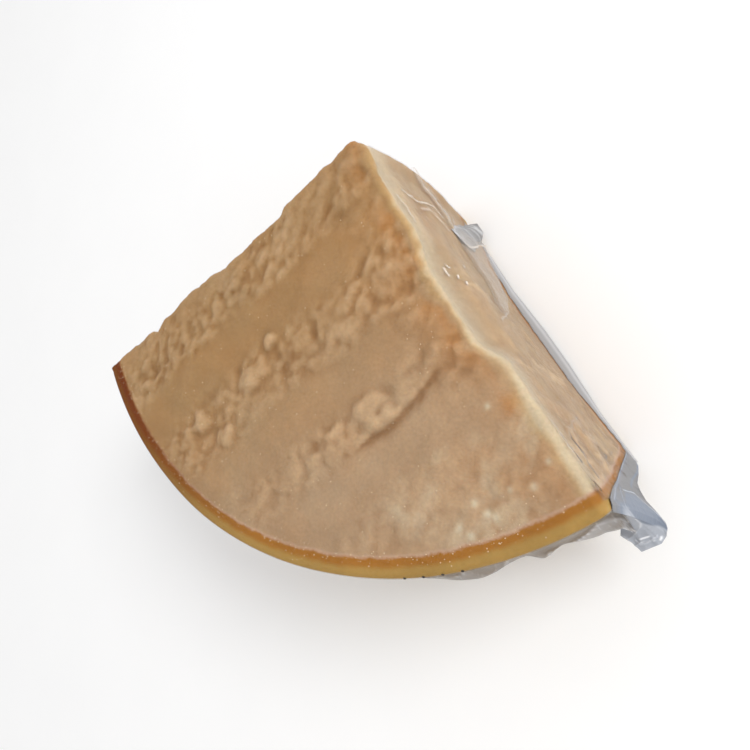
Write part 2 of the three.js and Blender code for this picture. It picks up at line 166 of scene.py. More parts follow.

# Tints along the right edge of the top face, in distances from it and made ragged. The orange rises
# between two of them and fades from there, and is weaker towards the rind. The yellow and the cream
# are wider towards the rind, and the cream reaches down the right face. The cream is partly the
# paste's own colour and partly a painted highlight on the rounded edge.
EDGE_RAGGED = {"uneven": 3, "fine": 1.5}
WARM_EDGE = {"from": 4, "to": 9, "fade": 14, "share": 0.8, "uneven": 0.7}
WEAKER_WARMTH = {"from": 120, "to": 160, "less": 0.5}
EDGE_SPREAD = {"from": 60, "to": 150}
YELLOW_EDGE = {"width": 5, "spread": 3.5}
CREAM_EDGE = {"from": -1, "to": 2.2, "spread_from": 1.7, "spread_to": 2.6, "share": 0.85, "ragged": 0.8}
CREAM_DOWN = {"reach": 24, "uneven": 6, "share": 0.75}

# Whitish lumps in the last band, the painted shade of short cracks in the valleys of the rough bands,
# and crumbs of the right face with their painted light and shade, as (size, stretch along the height,
# strength, seed). Gaps are the size of the bare parts between them, whose borders lie between two
# heights of a random swell.
WHITE_LUMPS = {
    "size": 5.5, "stretch": 1.4, "crown": (0.4, 0.9), "gaps": 13, "gap_border": (-0.4, 0.4),
    "across": (146, 166), "along": (80, 115), "share": 0.34,
}
SHORT_CRACK_SHADE = {
    "size": 6, "stretch": 2.2, "bend": 1.5, "sharpness": 8, "gaps": 9, "gap_border": (-0.1, 0.4),
    "valley": (-0.4, 0.3), "share": 0.8,
}
CRUMBS = [(3.5, 0.4, 1, 85), (1.8, 0.5, 0.6, 86)]
CRUMB_LIGHT_AND_SHADE = {"dark": 0.5, "pale": 1.5}

# Tones of the top face: a darker ring beside the rind, slow waves in the rough bands, paler lumps,
# calmer hollows with less painted shade by the apex as a patch, a greyer paste towards the rind, and
# the dusk of the rind towards the left corner as an angle
DARK_RING = {"from": 184, "to": 200, "across": (20, 90), "change": 0.12}
ROUGH_TONES = {"size": 17, "change": 0.28}
PALE_LUMPS = {"white": 0.12, "rough": 0.16}
CALM_APEX = [(0, 0, 30, 0.55)]
GREYER_PASTE = 35, 160
DUSK_ANGLE = 0.68

# A crack where a thin flake stands over the face below it, as (along, across) points, how deep it
# drops, over what length the face below climbs out again, and its lip, ends and the shade painted in it
LONG_CRACK = [(28, 126), (45, 130), (60, 131), (78, 132)]
CRACK_DROP = 2.8
CRACK_REACH = 9
CRACK_LIP = 0.7
CRACK_WOBBLE = {"size": 7, "height": 1.3}
CRACK_ENDS = (6, 6), (8, 10)
CRACK_SHADE = {"share": 0.72, "below": 0.5, "half_width": 0.9}

# How far the left face stands out from its line, as (from the apex, out), its steps as
# (from, to, depth), and what is missing along the top of the right one as
# (from, to, depth, height), with their soft ends as (before, after) each mark
LEFT_STAND_OUT = [(0, 0.5), (20, 2.2), (150, 2.2), (170, 3.6), (211, 3.6)]
LEFT_STEPS = [(56, 110, 1.8), (161, 168, 3)]
STEP_ENDS = (3, 3), (3, 3)
RIGHT_SCARS = [(70, 135, 6.5, 34), (16, 72, 2.2, 12)]
SCAR_ENDS = (9, 14), (9, 7)

# Where crystals lie: most of them in a line so far from the rind, fewer elsewhere on the top face. The
# smallest one is a share of the largest
CRYSTALS = {"from_rind": 1.4, "reach": 2.4, "elsewhere": 0.05, "over_rind": 5}
SMALLEST_CRYSTAL = 0.3

# Rows of pin pricks round the rind's side as (height, first place, last place), and how much of a
# prick's width its middle lies under the rind
PRICK_ROWS = [(110.6, 1.37, 1.53), *((height, 1.03, 2.97) for height in (94, 78, 62, 46, 30))]
PRICK_SINK = 0.32
PRICK_ROW_POINTS = 300

# The bag's loose seam as (place, height, width), where place runs clockwise from 0 at the apex over
# 1 at the right corner to 2 at the middle of the arc. Its ripple and folds have their size on a side
# of the block that counts as so long. A crest lies between two heights of a fold's wave, and crests
# and crumpled parts change the film's tone and haze: the brighter tone of crests is a painted
# highlight, and the brighter tone of the seam by the rind's corner is painted light against the
# shadow there.
SEAM_STATIONS = [
    (1.8, 60, 1.5), (1.62, 60, 14.5), (1.48, 60, 14.5), (1.33, 58, 9.5), (1.28, 58, 12.5),
    (1.22, 57, 9.5), (1.12, 54, 12), (1.078, 52, 14), (1.05, 51, 18),
]
SEAM_RIPPLE = {"side": 190, "size": 17, "height": 2.2, "wider": 0.05}
SEAM_CELL = 0.6
SEAM_COLUMNS = 17
SEAM_FOLD = 1.8
SEAM_HIDDEN = 0.8
SEAM_PAINTED_LIGHT = 1.32, 1.1
LARGE_FOLDS = {"side": 36, "size": 4, "seed": 57, "crest": (0.6, 1)}
SMALL_FOLDS = {"side": 40, "size": 2, "seed": 67, "crest": (0.7, 1), "brightness": 0.6}
FOLD_SHARPNESS = 1.8
FOLD_MIDDLE = 0.35
SMALL_FOLD_SHARE = 0.35
SEAM_TONE = {"crest": 0.35, "crumpled": 0.35, "corner_crest_highlight": 0.3}
SEAM_HAZE = {"crest": 0.1, "between": 0.08}
ROOT_GAP = 0.3
FILM_THICKNESS = 0.2

# Pleats of the tab and the ear: how far they lean over their length, over how many of their widths
# the lean changes, and how drawn out they are
PLEATS = {"lean": 0.5, "lean_size": 3, "stretch": 0.25}

# The stage: corners of the floor and how far it lies under the block, where the key light stands
# and how far off, and the camera
FLOOR_CORNERS = 96
FLOOR_DROP = 0.3
KEY_DIRECTION = (0.6, 0.44, 0.67)
KEY_DISTANCE = 1500
LENS = 30.33
SENSOR = 36
CAMERA_PLACE = (201.23, -17.04, 352.16)
CAMERA_TURN = (10.0237, 32.3484, 15.3119)


def linear(colour):
    """An sRGB hex colour as linear red, green, blue and alpha."""
    parts = [int(colour[at:at + 2], 16) / 255 for at in (1, 3, 5)]
    return tuple(c / 12.92 if c <= 0.04045 else ((c + 0.055) / 1.055) ** 2.4 for c in parts) + (1.0,)


def colour_property(name, description, colour):
    return FloatVectorProperty(
        name=name, description=description, subtype="COLOR", size=4, min=0, max=1, default=linear(colour)
    )


def length_property(name, description, millimetres):
    return FloatProperty(name=name, description=description, default=millimetres * MM, unit="LENGTH")


class CheeseSettings(bpy.types.PropertyGroup):
    """Sizes and colours of the block."""

    cells: IntProperty(name="Cells a side", description="Fineness of the mesh", default=225, min=20)
    crystal: length_property("Crystal size", "Width of the largest white crystal", 0.7)
    crystal_density: FloatProperty(
        name="Crystal density", description="Crystals on a square metre beside the rind", default=130000
    )
    prick_spacing: length_property("Prick spacing", "Distance between pin pricks in the rind", 7.7)
    prick: length_property("Prick size", "Width of one pin prick", 1.5)
    paste: colour_property("Paste", "Straw paste of the broken face", "#A28056")
    paste_far: colour_property("Paste by the right corner", "Greyer paste", "#B09475")
    # Painted shade in hollows, cracks, pits and between crumbs, and the darker tones of the paste
    paste_shade_and_dark_tone: colour_property("Hollows", "Paste in the valleys between crags", "#7C4F22")
    # Painted light on the crowns of crags and crumbs, and the paler tones of the paste
    paste_crown_light_and_pale: colour_property("Crags", "Paste on the crowns of crags", "#D3B38C")
    paste_warm: colour_property("Warm paste", "Orange tint along the broken edge", "#B47C44")
    paste_pale: colour_property("Pale paste", "Paste of the right face", "#AD926F")
    edge: colour_property("Edge", "Pale yellow paste by the right edge", "#C8A66F")
    # Partly cream paste, partly a painted highlight where the rounded edge catches the light
    rim: colour_property("Edge rim", "Cream paste on the rounded right edge", "#CCBFA4")
    rind_inner: colour_property("Inner rind", "Orange brown layer under the rind", "#A16B29")
    rind_outer: colour_property("Outer rind", "Yellow brown outermost layer", "#A98648")
    rind_dark: colour_property("Dark rind", "Tint of the rind towards the left corner", "#B4844C")
    pale_line: colour_property("Pale line", "Specked line between paste and rind", "#C2A088")
    crystal_colour: colour_property("Crystals", "White crystals", "#DEC5A0")
    # Painted shade inside the pin pricks
    prick_shade_colour: colour_property("Pricks", "Dark bottoms of pin pricks", "#2E2118")


class BagSettings(bpy.types.PropertyGroup):
    """Sizes and colours of the bag."""

    film_gap: length_property("Film gap", "Distance of the clinging film from the paste", 0.4)
    film: colour_property("Film", "Haze of the clinging film", "#E4E2E2")
    shaded_film: colour_property("Shaded film", "Haze of flat loose film", "#737A88")
    loose_film: colour_property("Loose film", "Haze of the flat ear", "#7A8290")
    boxed_film: colour_property("Box fold", "Haze of the folded strip beside the ear", "#7E7C7B")
    seam_film: colour_property("Seam film", "Haze of the seam beside the rind", "#B9B2AC")
    # Tone of the painted highlights on the crests, creases and crumples of the loose film
    highlight_film: colour_property("Creased film", "Haze of creases and folds", "#F2F3F6")
    paste_shadow: colour_property("Shadow", "Paste in the shadow of fine wrinkles", "#86694A")
    lit_film: colour_property("Lit creases", "Warm light in the creases of the right face", "#FFF3E4")
    cling_haze: FloatProperty(name="Cling haze", description="Haze of the clinging film", default=0.004)
    folded_haze: FloatProperty(name="Folded haze", description="Haze over the right face", default=0.006)
    loose_haze: FloatProperty(name="Loose haze", description="Haze of the loose film", default=0.84)
    sheen: FloatProperty(name="Sheen", description="Gloss of the film at a low angle", default=0.8)
    folded_sheen: FloatProperty(name="Folded sheen", description="Gloss over the right face", default=0.16)


class StageSettings(bpy.types.PropertyGroup):
    """Floor and light."""

    floor: length_property("Floor", "Diameter of the floor", 6000)
    floor_colour: colour_property("Floor colour", "Pale floor", "#FDFDFD")
    key: FloatProperty(
        name="Key light", description="Power of the soft key light", default=10.5, unit="POWER"
    )
    key_size: length_property("Key size", "Diameter of the key light", 700)
    fill: FloatProperty(name="Fill light", description="Strength of the even light", default=0.8)


TOWARDS_RIGHT = complex(math.sin(SECTOR / 2), -math.cos(SECTOR / 2))
TOWARDS_LEFT = complex(-TOWARDS_RIGHT.real, TOWARDS_RIGHT.imag)
RIGHT_OUT = TOWARDS_RIGHT * 1j
LEFT_OUT = complex(-RIGHT_OUT.real, RIGHT_OUT.imag)


def dot(vectors, direction):
    """Length of plan vectors along a plan direction."""
    return vectors.real * direction.real + vectors.imag * direction.imag


def smooth_step(start, end, value):
    part = np.clip((value - start) / (end - start), 0, 1)
    return part * part * (3 - 2 * part)


def within(value, start, end, rise, fall):
    """1 between two marks and 0 beyond them, with a border of (before, after) at each mark."""
    begun = smooth_step(start - rise[0], start + rise[1], value)
    return begun * (1 - smooth_step(end - fall[0], end + fall[1], value))


def lattice(i, j, k, seed):
    """A repeatable number from 0 to 1 for each lattice point."""
    value = np.sin(i * 127.1 + j * 311.7 + k * 74.7 + seed * 53.3) * 43758.5453
    return value - np.floor(value)


def waves(x, y, z, size, seed):
    """Smooth random swell from -1 to 1."""
    x, y, z = np.broadcast_arrays(x / size, y / size, z / size)
    cell = [np.floor(value) for value in (x, y, z)]
    part = [smooth_step(0, 1, value - low) for value, low in zip((x, y, z), cell)]
    total = 0
    for corner in range(8):
        a, b, c = corner & 1, (corner >> 1) & 1, (corner >> 2) & 1
        share = (part[0] if a else 1 - part[0]) * (part[1] if b else 1 - part[1])
        share = share * (part[2] if c else 1 - part[2])
        total = total + share * lattice(cell[0] + a, cell[1] + b, cell[2] + c, seed)
    return total * 2 - 1


def crags(x, y, z, size, seed):
    """Rounded crags with sharp valleys between them, from 0 in a valley to 1 on a crown."""
    x, y, z = np.broadcast_arrays(x, y, z)
    cell = [np.floor(value / size) for value in (x, y, z)]
    crown = np.zeros(x.shape)
    least, more = CRAG_REACH
    for step in np.ndindex(3, 3, 3):
        i, j, k = (low + move - 1 for low, move in zip(cell, step))
        dx = (i + lattice(i, j, k, seed)) * size - x
        dy = (j + lattice(i, j, k, seed + 1)) * size - y
        dz = (k + lattice(i, j, k, seed + 2)) * size - z
        reach = size * (least + more * lattice(i, j, k, seed + 3))
        crown = np.maximum(crown, 1 - (dx * dx + dy * dy + dz * dz) / (reach * reach))
    return crown


def chips(x, y, z, size, seed):
    """Flat broken chips, each with a height and a tilt of its own, from about -1 to 1."""
    x, y, z = np.broadcast_arrays(x, y, z)
    cell = [np.floor(value / size) for value in (x, y, z)]
    nearest, level = np.full(x.shape, FAR_AWAY), np.zeros(x.shape)
    for step in np.ndindex(3, 3, 3):
        i, j, k = (low + move - 1 for low, move in zip(cell, step))
        dx = (i + lattice(i, j, k, seed)) * size - x
        dy = (j + lattice(i, j, k, seed + 1)) * size - y
        dz = (k + lattice(i, j, k, seed + 2)) * size - z
        distance = dx * dx + dy * dy + dz * dz
        tilt = (lattice(i, j, k, seed + 3) - 0.5) * dx + (lattice(i, j, k, seed + 4) - 0.5) * dy
        chip = 2 * lattice(i, j, k, seed + 5) - 1 + CHIP_TILT * tilt / size
        level = np.where(distance < nearest, chip, level)
        nearest = np.minimum(nearest, distance)
    return level


def cracked_relief(x, y, z):
    """Height of cracked paste, about zero on average."""
    y = y / GRAIN_STRETCH
    bend = [GRAIN_BEND["reach"] * waves(x, y, z, GRAIN_BEND["size"], seed) for seed in (11, 13)]
    x, y = x + bend[0], y + bend[1]
    size, height, seed = CRAGS[0]
    x = x + LEAN * height * (crags(x, y, z, size, seed) - MEAN_CRAG)
    relief = sum(height * (crags(x, y, z, size, seed) - MEAN_CRAG) for size, height, seed in CRAGS)
    relief = relief + sum(height * chips(x, y, z, size, seed) for size, height, seed in CHIPS)
    relief = relief + sum(height * waves(x, y, z, size, seed) for size, height, seed in LUMPS)
    return relief * (1 + PATCHES["change"] * waves(x, y, z, PATCHES["size"], 107))


def barrel_radius(height):
    """Radius of the barrel side at a height."""
    down = np.maximum(1 - height / BLOCK_HEIGHT, 0)
    rim = np.maximum(RIM_RADIUS - height, 0)
    rim_inset = RIM_RADIUS - np.sqrt(RIM_RADIUS * RIM_RADIUS - rim * rim)
    return WHEEL_RADIUS - BARREL_INSET * down ** BARREL_POWER - rim_inset


def outline_point(place, height):
    """Outline at a height: place is 0 at the apex, 1 right corner, 2 middle of the arc, 3 left corner."""
    turn = np.mod(place, 4)
    radius = barrel_radius(height)
    down = 1 - height / BLOCK_HEIGHT
    right = RIGHT_FLARE * down
    left = LEFT_FLARE * down
    apex = AXIS - (TOWARDS_RIGHT * left + TOWARDS_LEFT * right) / math.sin(SECTOR)
    right_corner = AXIS + RIGHT_OUT * right + TOWARDS_RIGHT * np.sqrt(radius * radius - right * right)
    left_corner = AXIS + LEFT_OUT * left + TOWARDS_LEFT * np.sqrt(radius * radius - left * left)
    right_length = abs(right_corner - apex)
    left_length = abs(left_corner - apex)
    first_angle = np.angle(right_corner - AXIS)
    sweep = SECTOR + np.arcsin(right / radius) + np.arcsin(left / radius)
    on_right = apex + (right_corner - apex) * turn
    on_arc = AXIS + radius * np.exp(1j * (first_angle - sweep * (turn - 1) / 2))
    on_left = left_corner + (apex - left_corner) * (turn - 3)
    point = np.where(turn <= 1, on_right, np.where(turn < 3, on_arc, on_left))
    # Each corner draws the outline in by half of what a hyperbola falls short of its two lines
    arc_length = radius * sweep / 2
    corners = [
        (np.where(turn <= 2, turn * right_length, (turn - 4) * left_length), APEX_ROUNDING,
         TOWARDS_RIGHT + TOWARDS_LEFT),
        ((turn - 1) * np.where(turn < 1, right_length, arc_length), RIND_CORNER_ROUNDING,
         -RIGHT_OUT - TOWARDS_RIGHT),
        ((turn - 3) * np.where(turn < 3, arc_length, left_length), RIND_CORNER_ROUNDING,
         -LEFT_OUT - TOWARDS_LEFT),
    ]
    for distance, reach, inwards in corners:
        point = point + inwards * (np.hypot(distance, reach) - abs(distance)) / 2
    return point


def outline_normal(place, height, step=0.004):
    """Outward direction of the outline in plan, as an average over a step to either side."""
    along = outline_point(place + step, height) - outline_point(place - step, height)
    return along / abs(along) * 1j


def broken_share(place):
    """Share of broken paste at a place on the outline, and of rind as the rest."""
    turn = np.mod(place, 4)
    return 1 - smooth_step(*RIND_BORDER, np.minimum(turn - 1, 3 - turn))


def wall_relief(place, point, height):
    """How far the surface of the wall stands out from the plain outline."""
    turn = np.mod(place, 4)
    x, y = point.real, point.imag
    on_right = np.clip(1 - smooth_step(*RIGHT_END, turn) + smooth_step(*RIGHT_START, turn), 0, 1)
    crumble = smooth_step(CORNER_CRUMBLE["from"], CORNER_CRUMBLE["to"], turn * WHEEL_RADIUS)
    near_top = smooth_step(BLOCK_HEIGHT - RIGHT_TOP_CALM["from"], BLOCK_HEIGHT - RIGHT_TOP_CALM["to"], height)
    calm = 1 - RIGHT_TOP_CALM["less"] * near_top
    right_roughness = (RIGHT_ROUGHNESS + CORNER_CRUMBLE["more"] * crumble) * calm
    roughness = LEFT_ROUGHNESS + (right_roughness - LEFT_ROUGHNESS) * on_right
    broken = broken_share(place)
    slow = waves(x, y, height, SWELL["size"], 21)
    relief = broken * (roughness * cracked_relief(x, y, height) + SWELL["on_broken_side"] * slow)
    relief = relief + (1 - broken) * SWELL["on_rind"] * slow
    from_apex = np.minimum(turn, 4 - turn) * WHEEL_RADIUS
    down = np.clip(1 - height / BLOCK_HEIGHT, 0, 1)
    near_apex = 1 - smooth_step(0, APEX_BULGE["reach"], from_apex)
    relief = relief + near_apex * APEX_BULGE["height"] * np.sin(np.pi * down)
    relief = relief + APEX_BULGE["top"] * (1 - smooth_step(0, APEX_BULGE["top_reach"], from_apex))
    right_side = turn < 1
    near_bulge = np.exp(-((from_apex - FOOT_BULGE["from_apex"]) / FOOT_BULGE["reach"]) ** 2)
    relief = relief + right_side * FOOT_BULGE["height"] * down * near_bulge
    relief = relief - right_side * RIGHT_FOOT_HOLLOW * down * np.sin(np.pi * np.minimum(turn, 1))
    for start, end, depth, reach in RIGHT_SCARS:
        length = within(from_apex, start, end, *SCAR_ENDS)
        rise = smooth_step(BLOCK_HEIGHT - reach, BLOCK_HEIGHT, height)
        relief = relief - right_side * depth * length * rise
    stand_out = np.interp(from_apex, *np.transpose(LEFT_STAND_OUT))
    relief = relief + (turn > 3) * stand_out
    for start, end, depth in LEFT_STEPS:
        relief = relief - (turn > 3) * depth * within(from_apex, start, end, *STEP_ENDS)
    return relief


def wall_point(place, height):
    """A point of the wall with its relief."""
    point = outline_point(place, height)
    return point + outline_normal(place, height) * wall_relief(place, point, height)


def right_place(along, height):
    """Place on the outline of a point of the right face, from its distance along the face."""
    radius = barrel_radius(height)
    down = 1 - height / BLOCK_HEIGHT
    near = -(LEFT_FLARE + RIGHT_FLARE * math.cos(SECTOR)) * down / math.sin(SECTOR)
    far = np.sqrt(radius * radius - (RIGHT_FLARE * down) ** 2)
    return np.clip((along - near) / (far - near), *RIGHT_LIMITS)


def face_places(point):
    """Plan position as distance across from the left face's line and along from the right face's."""
    offset = point - AXIS
    return dot(offset, TOWARDS_RIGHT), -dot(offset, RIGHT_OUT)


def band_strength(across, along):
    """Strength of the rough bands at a point of the top face."""
    shifted = across + ROUGH_WOBBLE["height"] * waves(across, along, 0 * across, ROUGH_WOBBLE["size"], 31)
    strength = 0
    for start, end, band in ROUGH_BANDS:
        rise = smooth_step(start - ROUGH_BORDER, start + ROUGH_BORDER, shifted)
        fall = smooth_step(end - ROUGH_BORDER, end + ROUGH_BORDER, shifted)
        strength = strength + band * rise * (1 - fall)
    before, after = ROUGH_EDGE["soft"]
    reach = ROUGH_EDGE["along"]
    by_edge = 1 - smooth_step(reach - before, reach + after, along + (shifted - across))
    before, after = ROUGH_EDGE["soft_across"]
    reach = ROUGH_EDGE["across"]
    by_edge = by_edge * (1 - smooth_step(reach - before, reach + after, across))
    return np.maximum(strength, ROUGH_EDGE["strength"] * by_edge)


def crack_relief(across, along):
    """A step down at the crack in the third band, which the face below climbs out of again, and the
    shade painted where a place lies in the crack."""
    points = np.array(LONG_CRACK, float)
    wobble = CRACK_WOBBLE["height"] * waves(along, 0 * along, 0 * along, CRACK_WOBBLE["size"], 33)
    below = across - (np.interp(along, points[:, 0], points[:, 1]) + wobble)
    length = within(along, LONG_CRACK[0][0], LONG_CRACK[-1][0], *CRACK_ENDS)
    drop = smooth_step(-CRACK_LIP, CRACK_LIP, below) * np.exp(-np.maximum(below, 0) / CRACK_REACH)
    inside = np.exp(-((below - CRACK_SHADE["below"]) / CRACK_SHADE["half_width"]) ** 2)
    return -CRACK_DROP * length * drop, CRACK_SHADE["share"] * length * inside


def top_relief(point):
    """How far the top face stands above the plain half-height plane."""
    x, y = point.real, point.imag
    across, along = face_places(point)
    from_rind = WHEEL_RADIUS - RIND - abs(point - AXIS)
    level = BLOCK_HEIGHT + 0 * x
    relief = SWELL["height"] * waves(x, y, level, SWELL["size"], 21)
    calm = smooth_step(CALM_EDGE["from"], CALM_EDGE["to"], np.minimum(across, along))
    calm = CALM_EDGE["left"] + (1 - CALM_EDGE["left"]) * calm
    strength = STRIP_ROUGHNESS + band_strength(across, along)
    relief = relief + calm * strength * cracked_relief(x, y, level)
    relief = relief + STREAK["height"] * waves(x, y / STREAK["stretch"], level, STREAK["size"], 71)
    relief = relief + crack_relief(across, along)[0]
    ragged = [BOULDER_EDGE["reach"] * waves(x, y, level, BOULDER_EDGE["size"], seed) for seed in (35, 37)]
    for across_at, along_at, half_across, half_along, height in BOULDERS:
        a = (across - across_at + ragged[0]) / half_across
        b = (along - along_at + ragged[1]) / half_along
        relief = relief + height * np.maximum(0, 1 - a * a - b * b)
    return relief * smooth_step(CALM_BY_RIND["from"], CALM_BY_RIND["to"], from_rind)


def edge_radius(place):
    """Rounding radius of the top edge."""
    along = place * EDGE_UNEVEN["waves_a_side"]
    uneven = 1 + EDGE_UNEVEN["change"] * waves(along, 0 * place, 0 * place, 1, 41)
    broken = broken_share(place)
    return RIND_EDGE_RADIUS + (BROKEN_EDGE_RADIUS * uneven - RIND_EDGE_RADIUS) * broken


def blurred(grid, passes, closed=False):
    """A grid of values smoothed over its neighbours, closed round its first direction if it is a ring."""
    for _ in range(passes):
        for direction in (0, 1):
            pad = [(1, 1) if direction == d else (0, 0) for d in (0, 1)]
            wide = np.pad(grid, pad, mode="wrap" if closed and direction == 0 else "edge")
            low = wide[:-2] if direction == 0 else wide[:, :-2]
            high = wide[2:] if direction == 0 else wide[:, 2:]
            grid = (low + 2 * grid + high) / 4
    return grid


def grid_faces(index):
    """Faces with four corners between the points of a grid, from their numbers."""
    corners = [index[:-1, :-1], index[:-1, 1:], index[1:, 1:], index[1:, :-1]]
    return np.stack(corners, -1).reshape(-1, 4).tolist()


# Rows of the walls and of their rounded edge, the step over which a corner's direction is averaged,
# and how often the top grid is evened out, its relief softened and the hollows' surroundings blurred
WALL_ROWS = 48
EDGE_ROWS = 6
CORNER_STEP = 0.045
EVENING_PASSES = 240
SOFTENING_PASSES = 2
BLUR_PASSES = 14


def wall_grid(side):
    """Plan, heights, places and hollows of the walls, in columns that end over their rounded top edge."""
    place = np.arange(4 * side) / side
    radius = edge_radius(place)
    inward = -outline_normal(place, BLOCK_HEIGHT + 0 * place, CORNER_STEP)
    rim_point = wall_point(place, BLOCK_HEIGHT + 0 * place) + inward * radius
    top_height = BLOCK_HEIGHT + top_relief(rim_point)
    rows = np.arange(WALL_ROWS + 1) / WALL_ROWS
    angles = math.pi / 2 * np.arange(1, EDGE_ROWS + 1) / EDGE_ROWS
    over = top_height[:, None] - radius[:, None] * (1 - np.sin(angles))
    heights = np.hstack([(top_height - radius)[:, None] * rows, over])
    places = place[:, None] + 0 * heights
    wall_heights = np.minimum(heights, BLOCK_HEIGHT)
    outline = outline_point(places, wall_heights)
    relief = wall_relief(places, outline, wall_heights)
    plan = outline + outline_normal(places, wall_heights) * relief
    plan[:, WALL_ROWS + 1:] += inward[:, None] * radius[:, None] * (1 - np.cos(angles))
    # Depth under the blurred surroundings: the paste is painted darker there as shade, and paler on crowns as
    # light
    hollow = blurred(relief, BLUR_PASSES, closed=True) - relief
    hollow[:, WALL_ROWS - 2:] = 0
    return plan, heights, places, hollow


def ring_sides(ring, side):
    """A closed ring of values as the first and last column and the first and last row of the top grid."""
    at = np.arange(side + 1)
    return ring[at], ring[3 * side - at], ring[(4 * side - at) % (4 * side)], ring[side + at]


def top_plan(rim, side):
    """Plan of the top grid, stretched between the four sides of its rim and evened out."""
    first, last, left, right = ring_sides(rim, side)
    s = np.arange(side + 1)[:, None] / side
    t = np.arange(side + 1)[None, :] / side
    top = (1 - t) * first[:, None] + t * last[:, None] + (1 - s) * left[None, :] + s * right[None, :]
    top = top - (1 - s) * (1 - t) * rim[0] - s * (1 - t) * rim[side]
    top = top - s * t * rim[2 * side] - (1 - s) * t * rim[3 * side]
    # Each inner point moves to the middle of its neighbours, so that the cells don't fold at the rim
    for _ in range(EVENING_PASSES):
        top[1:-1, 1:-1] = (top[:-2, 1:-1] + top[2:, 1:-1] + top[1:-1, :-2] + top[1:-1, 2:]) / 4
    return top


@functools.lru_cache(maxsize=2)
def block_surface(side):
    """Points, faces and surface values of the block: the walls, and a top grid between their ends."""
    walls, heights, places, wall_hollow = wall_grid(side)
    rings = walls.shape[1] - 1
    top = top_plan(walls[:, rings], side)
    top_level = blurred(BLOCK_HEIGHT + top_relief(top), SOFTENING_PASSES)
    # Depth under the blurred surroundings: the paste is painted darker there as shade, and paler on crowns as
    # light
    top_hollow = blurred(top_level, BLUR_PASSES) - top_level

    index = np.arange(walls.size).reshape(walls.shape)
    inner = np.arange((side - 1) ** 2).reshape(side - 1, side - 1) + walls.size
    top_index = np.zeros(top.shape, int)
    top_index[1:-1, 1:-1] = inner
    sides = ring_sides(index[:, rings], side)
    top_index[:, 0], top_index[:, side], top_index[0, :], top_index[side, :] = sides
    # The walls close round the block, and one face is the plate
    faces = grid_faces(np.vstack([index, index[:1]])) + grid_faces(top_index)
    faces.append(index[:, 0].tolist())

    # The top grid has no place on the outline, which is told by a place of -1
    wall_on_top = heights * 0 + (np.arange(rings + 1) > WALL_ROWS)
    values = {
        "plan": (walls, top[1:-1, 1:-1]), "level": (heights, top_level[1:-1, 1:-1]),
        "hollow": (wall_hollow, top_hollow[1:-1, 1:-1]), "on_top": (wall_on_top, np.ones(inner.shape)),
        "place": (places, np.full(inner.shape, -1.0)),
    }
    surface = {key: np.concatenate([part.ravel() for part in parts]) for key, parts in values.items()}
    return {**surface, "faces": faces, "top_index": top_index}


def patches_at(across, along, patches):
    """Sum of round soft patches at positions of the top face."""
    total = 0 * across
    for across_at, along_at, reach, change in patches:
        total = total + change * np.exp(-((across - across_at) ** 2 + (along - along_at) ** 2) / reach ** 2)
    return total


def edge_tints(across, edge_line, uneven, fine):
    """Orange, yellow and cream of the top face at distances from its right edge, the cream partly a painted
    highlight.
    """
    line = edge_line + EDGE_RAGGED["uneven"] * uneven + EDGE_RAGGED["fine"] * fine
    warmth = smooth_step(WARM_EDGE["from"], WARM_EDGE["to"], line)
    warmth = warmth * np.exp(-np.maximum(line - WARM_EDGE["to"], 0) / WARM_EDGE["fade"])
    warmth = warmth * np.clip(WARM_EDGE["share"] + WARM_EDGE["uneven"] * uneven, 0, 1)
    weaker = smooth_step(WEAKER_WARMTH["from"], WEAKER_WARMTH["to"], across)
    warmth = warmth * (1 - WEAKER_WARMTH["less"] * weaker)
    spread = smooth_step(EDGE_SPREAD["from"], EDGE_SPREAD["to"], across)
    yellow = 1 - smooth_step(0, YELLOW_EDGE["width"] + YELLOW_EDGE["spread"] * spread, line)
    start = CREAM_EDGE["spread_from"] * spread + CREAM_EDGE["from"]
    end = CREAM_EDGE["to"] + CREAM_EDGE["spread_to"] * spread
    cream = 1 - smooth_step(start, end, edge_line + CREAM_EDGE["ragged"] * (line - edge_line))
    return warmth, yellow, cream


def white_lumps(plan, across, along, uneven, fine):
    """Whitish lumps of the last band, from 0 between them to 1 on them."""
    x, y = plan.real + fine, plan.imag / WHITE_LUMPS["stretch"] + uneven
    lumps = smooth_step(*WHITE_LUMPS["crown"], crags(x, y, 0 * across, WHITE_LUMPS["size"], 87))
    swell = waves(plan.real, plan.imag, 0 * across, WHITE_LUMPS["gaps"], 88)
    lumps = lumps * smooth_step(*WHITE_LUMPS["gap_border"], swell)
    lumps = lumps * smooth_step(*WHITE_LUMPS["across"], across)
    return lumps * (1 - smooth_step(*WHITE_LUMPS["along"], along))


def short_crack_shade(plan, fine):
    """Painted shade of short cracks along the grain, from 0 between them to 1 in them."""
    x, y = plan.real + SHORT_CRACK_SHADE["bend"] * fine, plan.imag / SHORT_CRACK_SHADE["stretch"]
    crack = (1 - abs(waves(x, y, 0 * fine, SHORT_CRACK_SHADE["size"], 92))) ** SHORT_CRACK_SHADE["sharpness"]
    swell = waves(plan.real, plan.imag, 0 * fine, SHORT_CRACK_SHADE["gaps"], 94)
    return crack * smooth_step(*SHORT_CRACK_SHADE["gap_border"], swell)


def crumbled_share(across, level):
    """How far the right face is crumbled, in patches and by the rind's corner."""
    corner = smooth_step(CRUMBLED_CORNER["from"], CRUMBLED_CORNER["to"], across)
    crumbled = CRUMBLED_CORNER["share"] * corner
    for across_at, reach, bottom, top in CRUMBLED_PATCHES:
        patch = np.exp(-((across - across_at) / reach) ** 2)
        patch = patch * within(level, bottom, top, CRUMBLED_BORDER, CRUMBLED_BORDER)
        crumbled = np.maximum(crumbled, patch)
    return crumbled


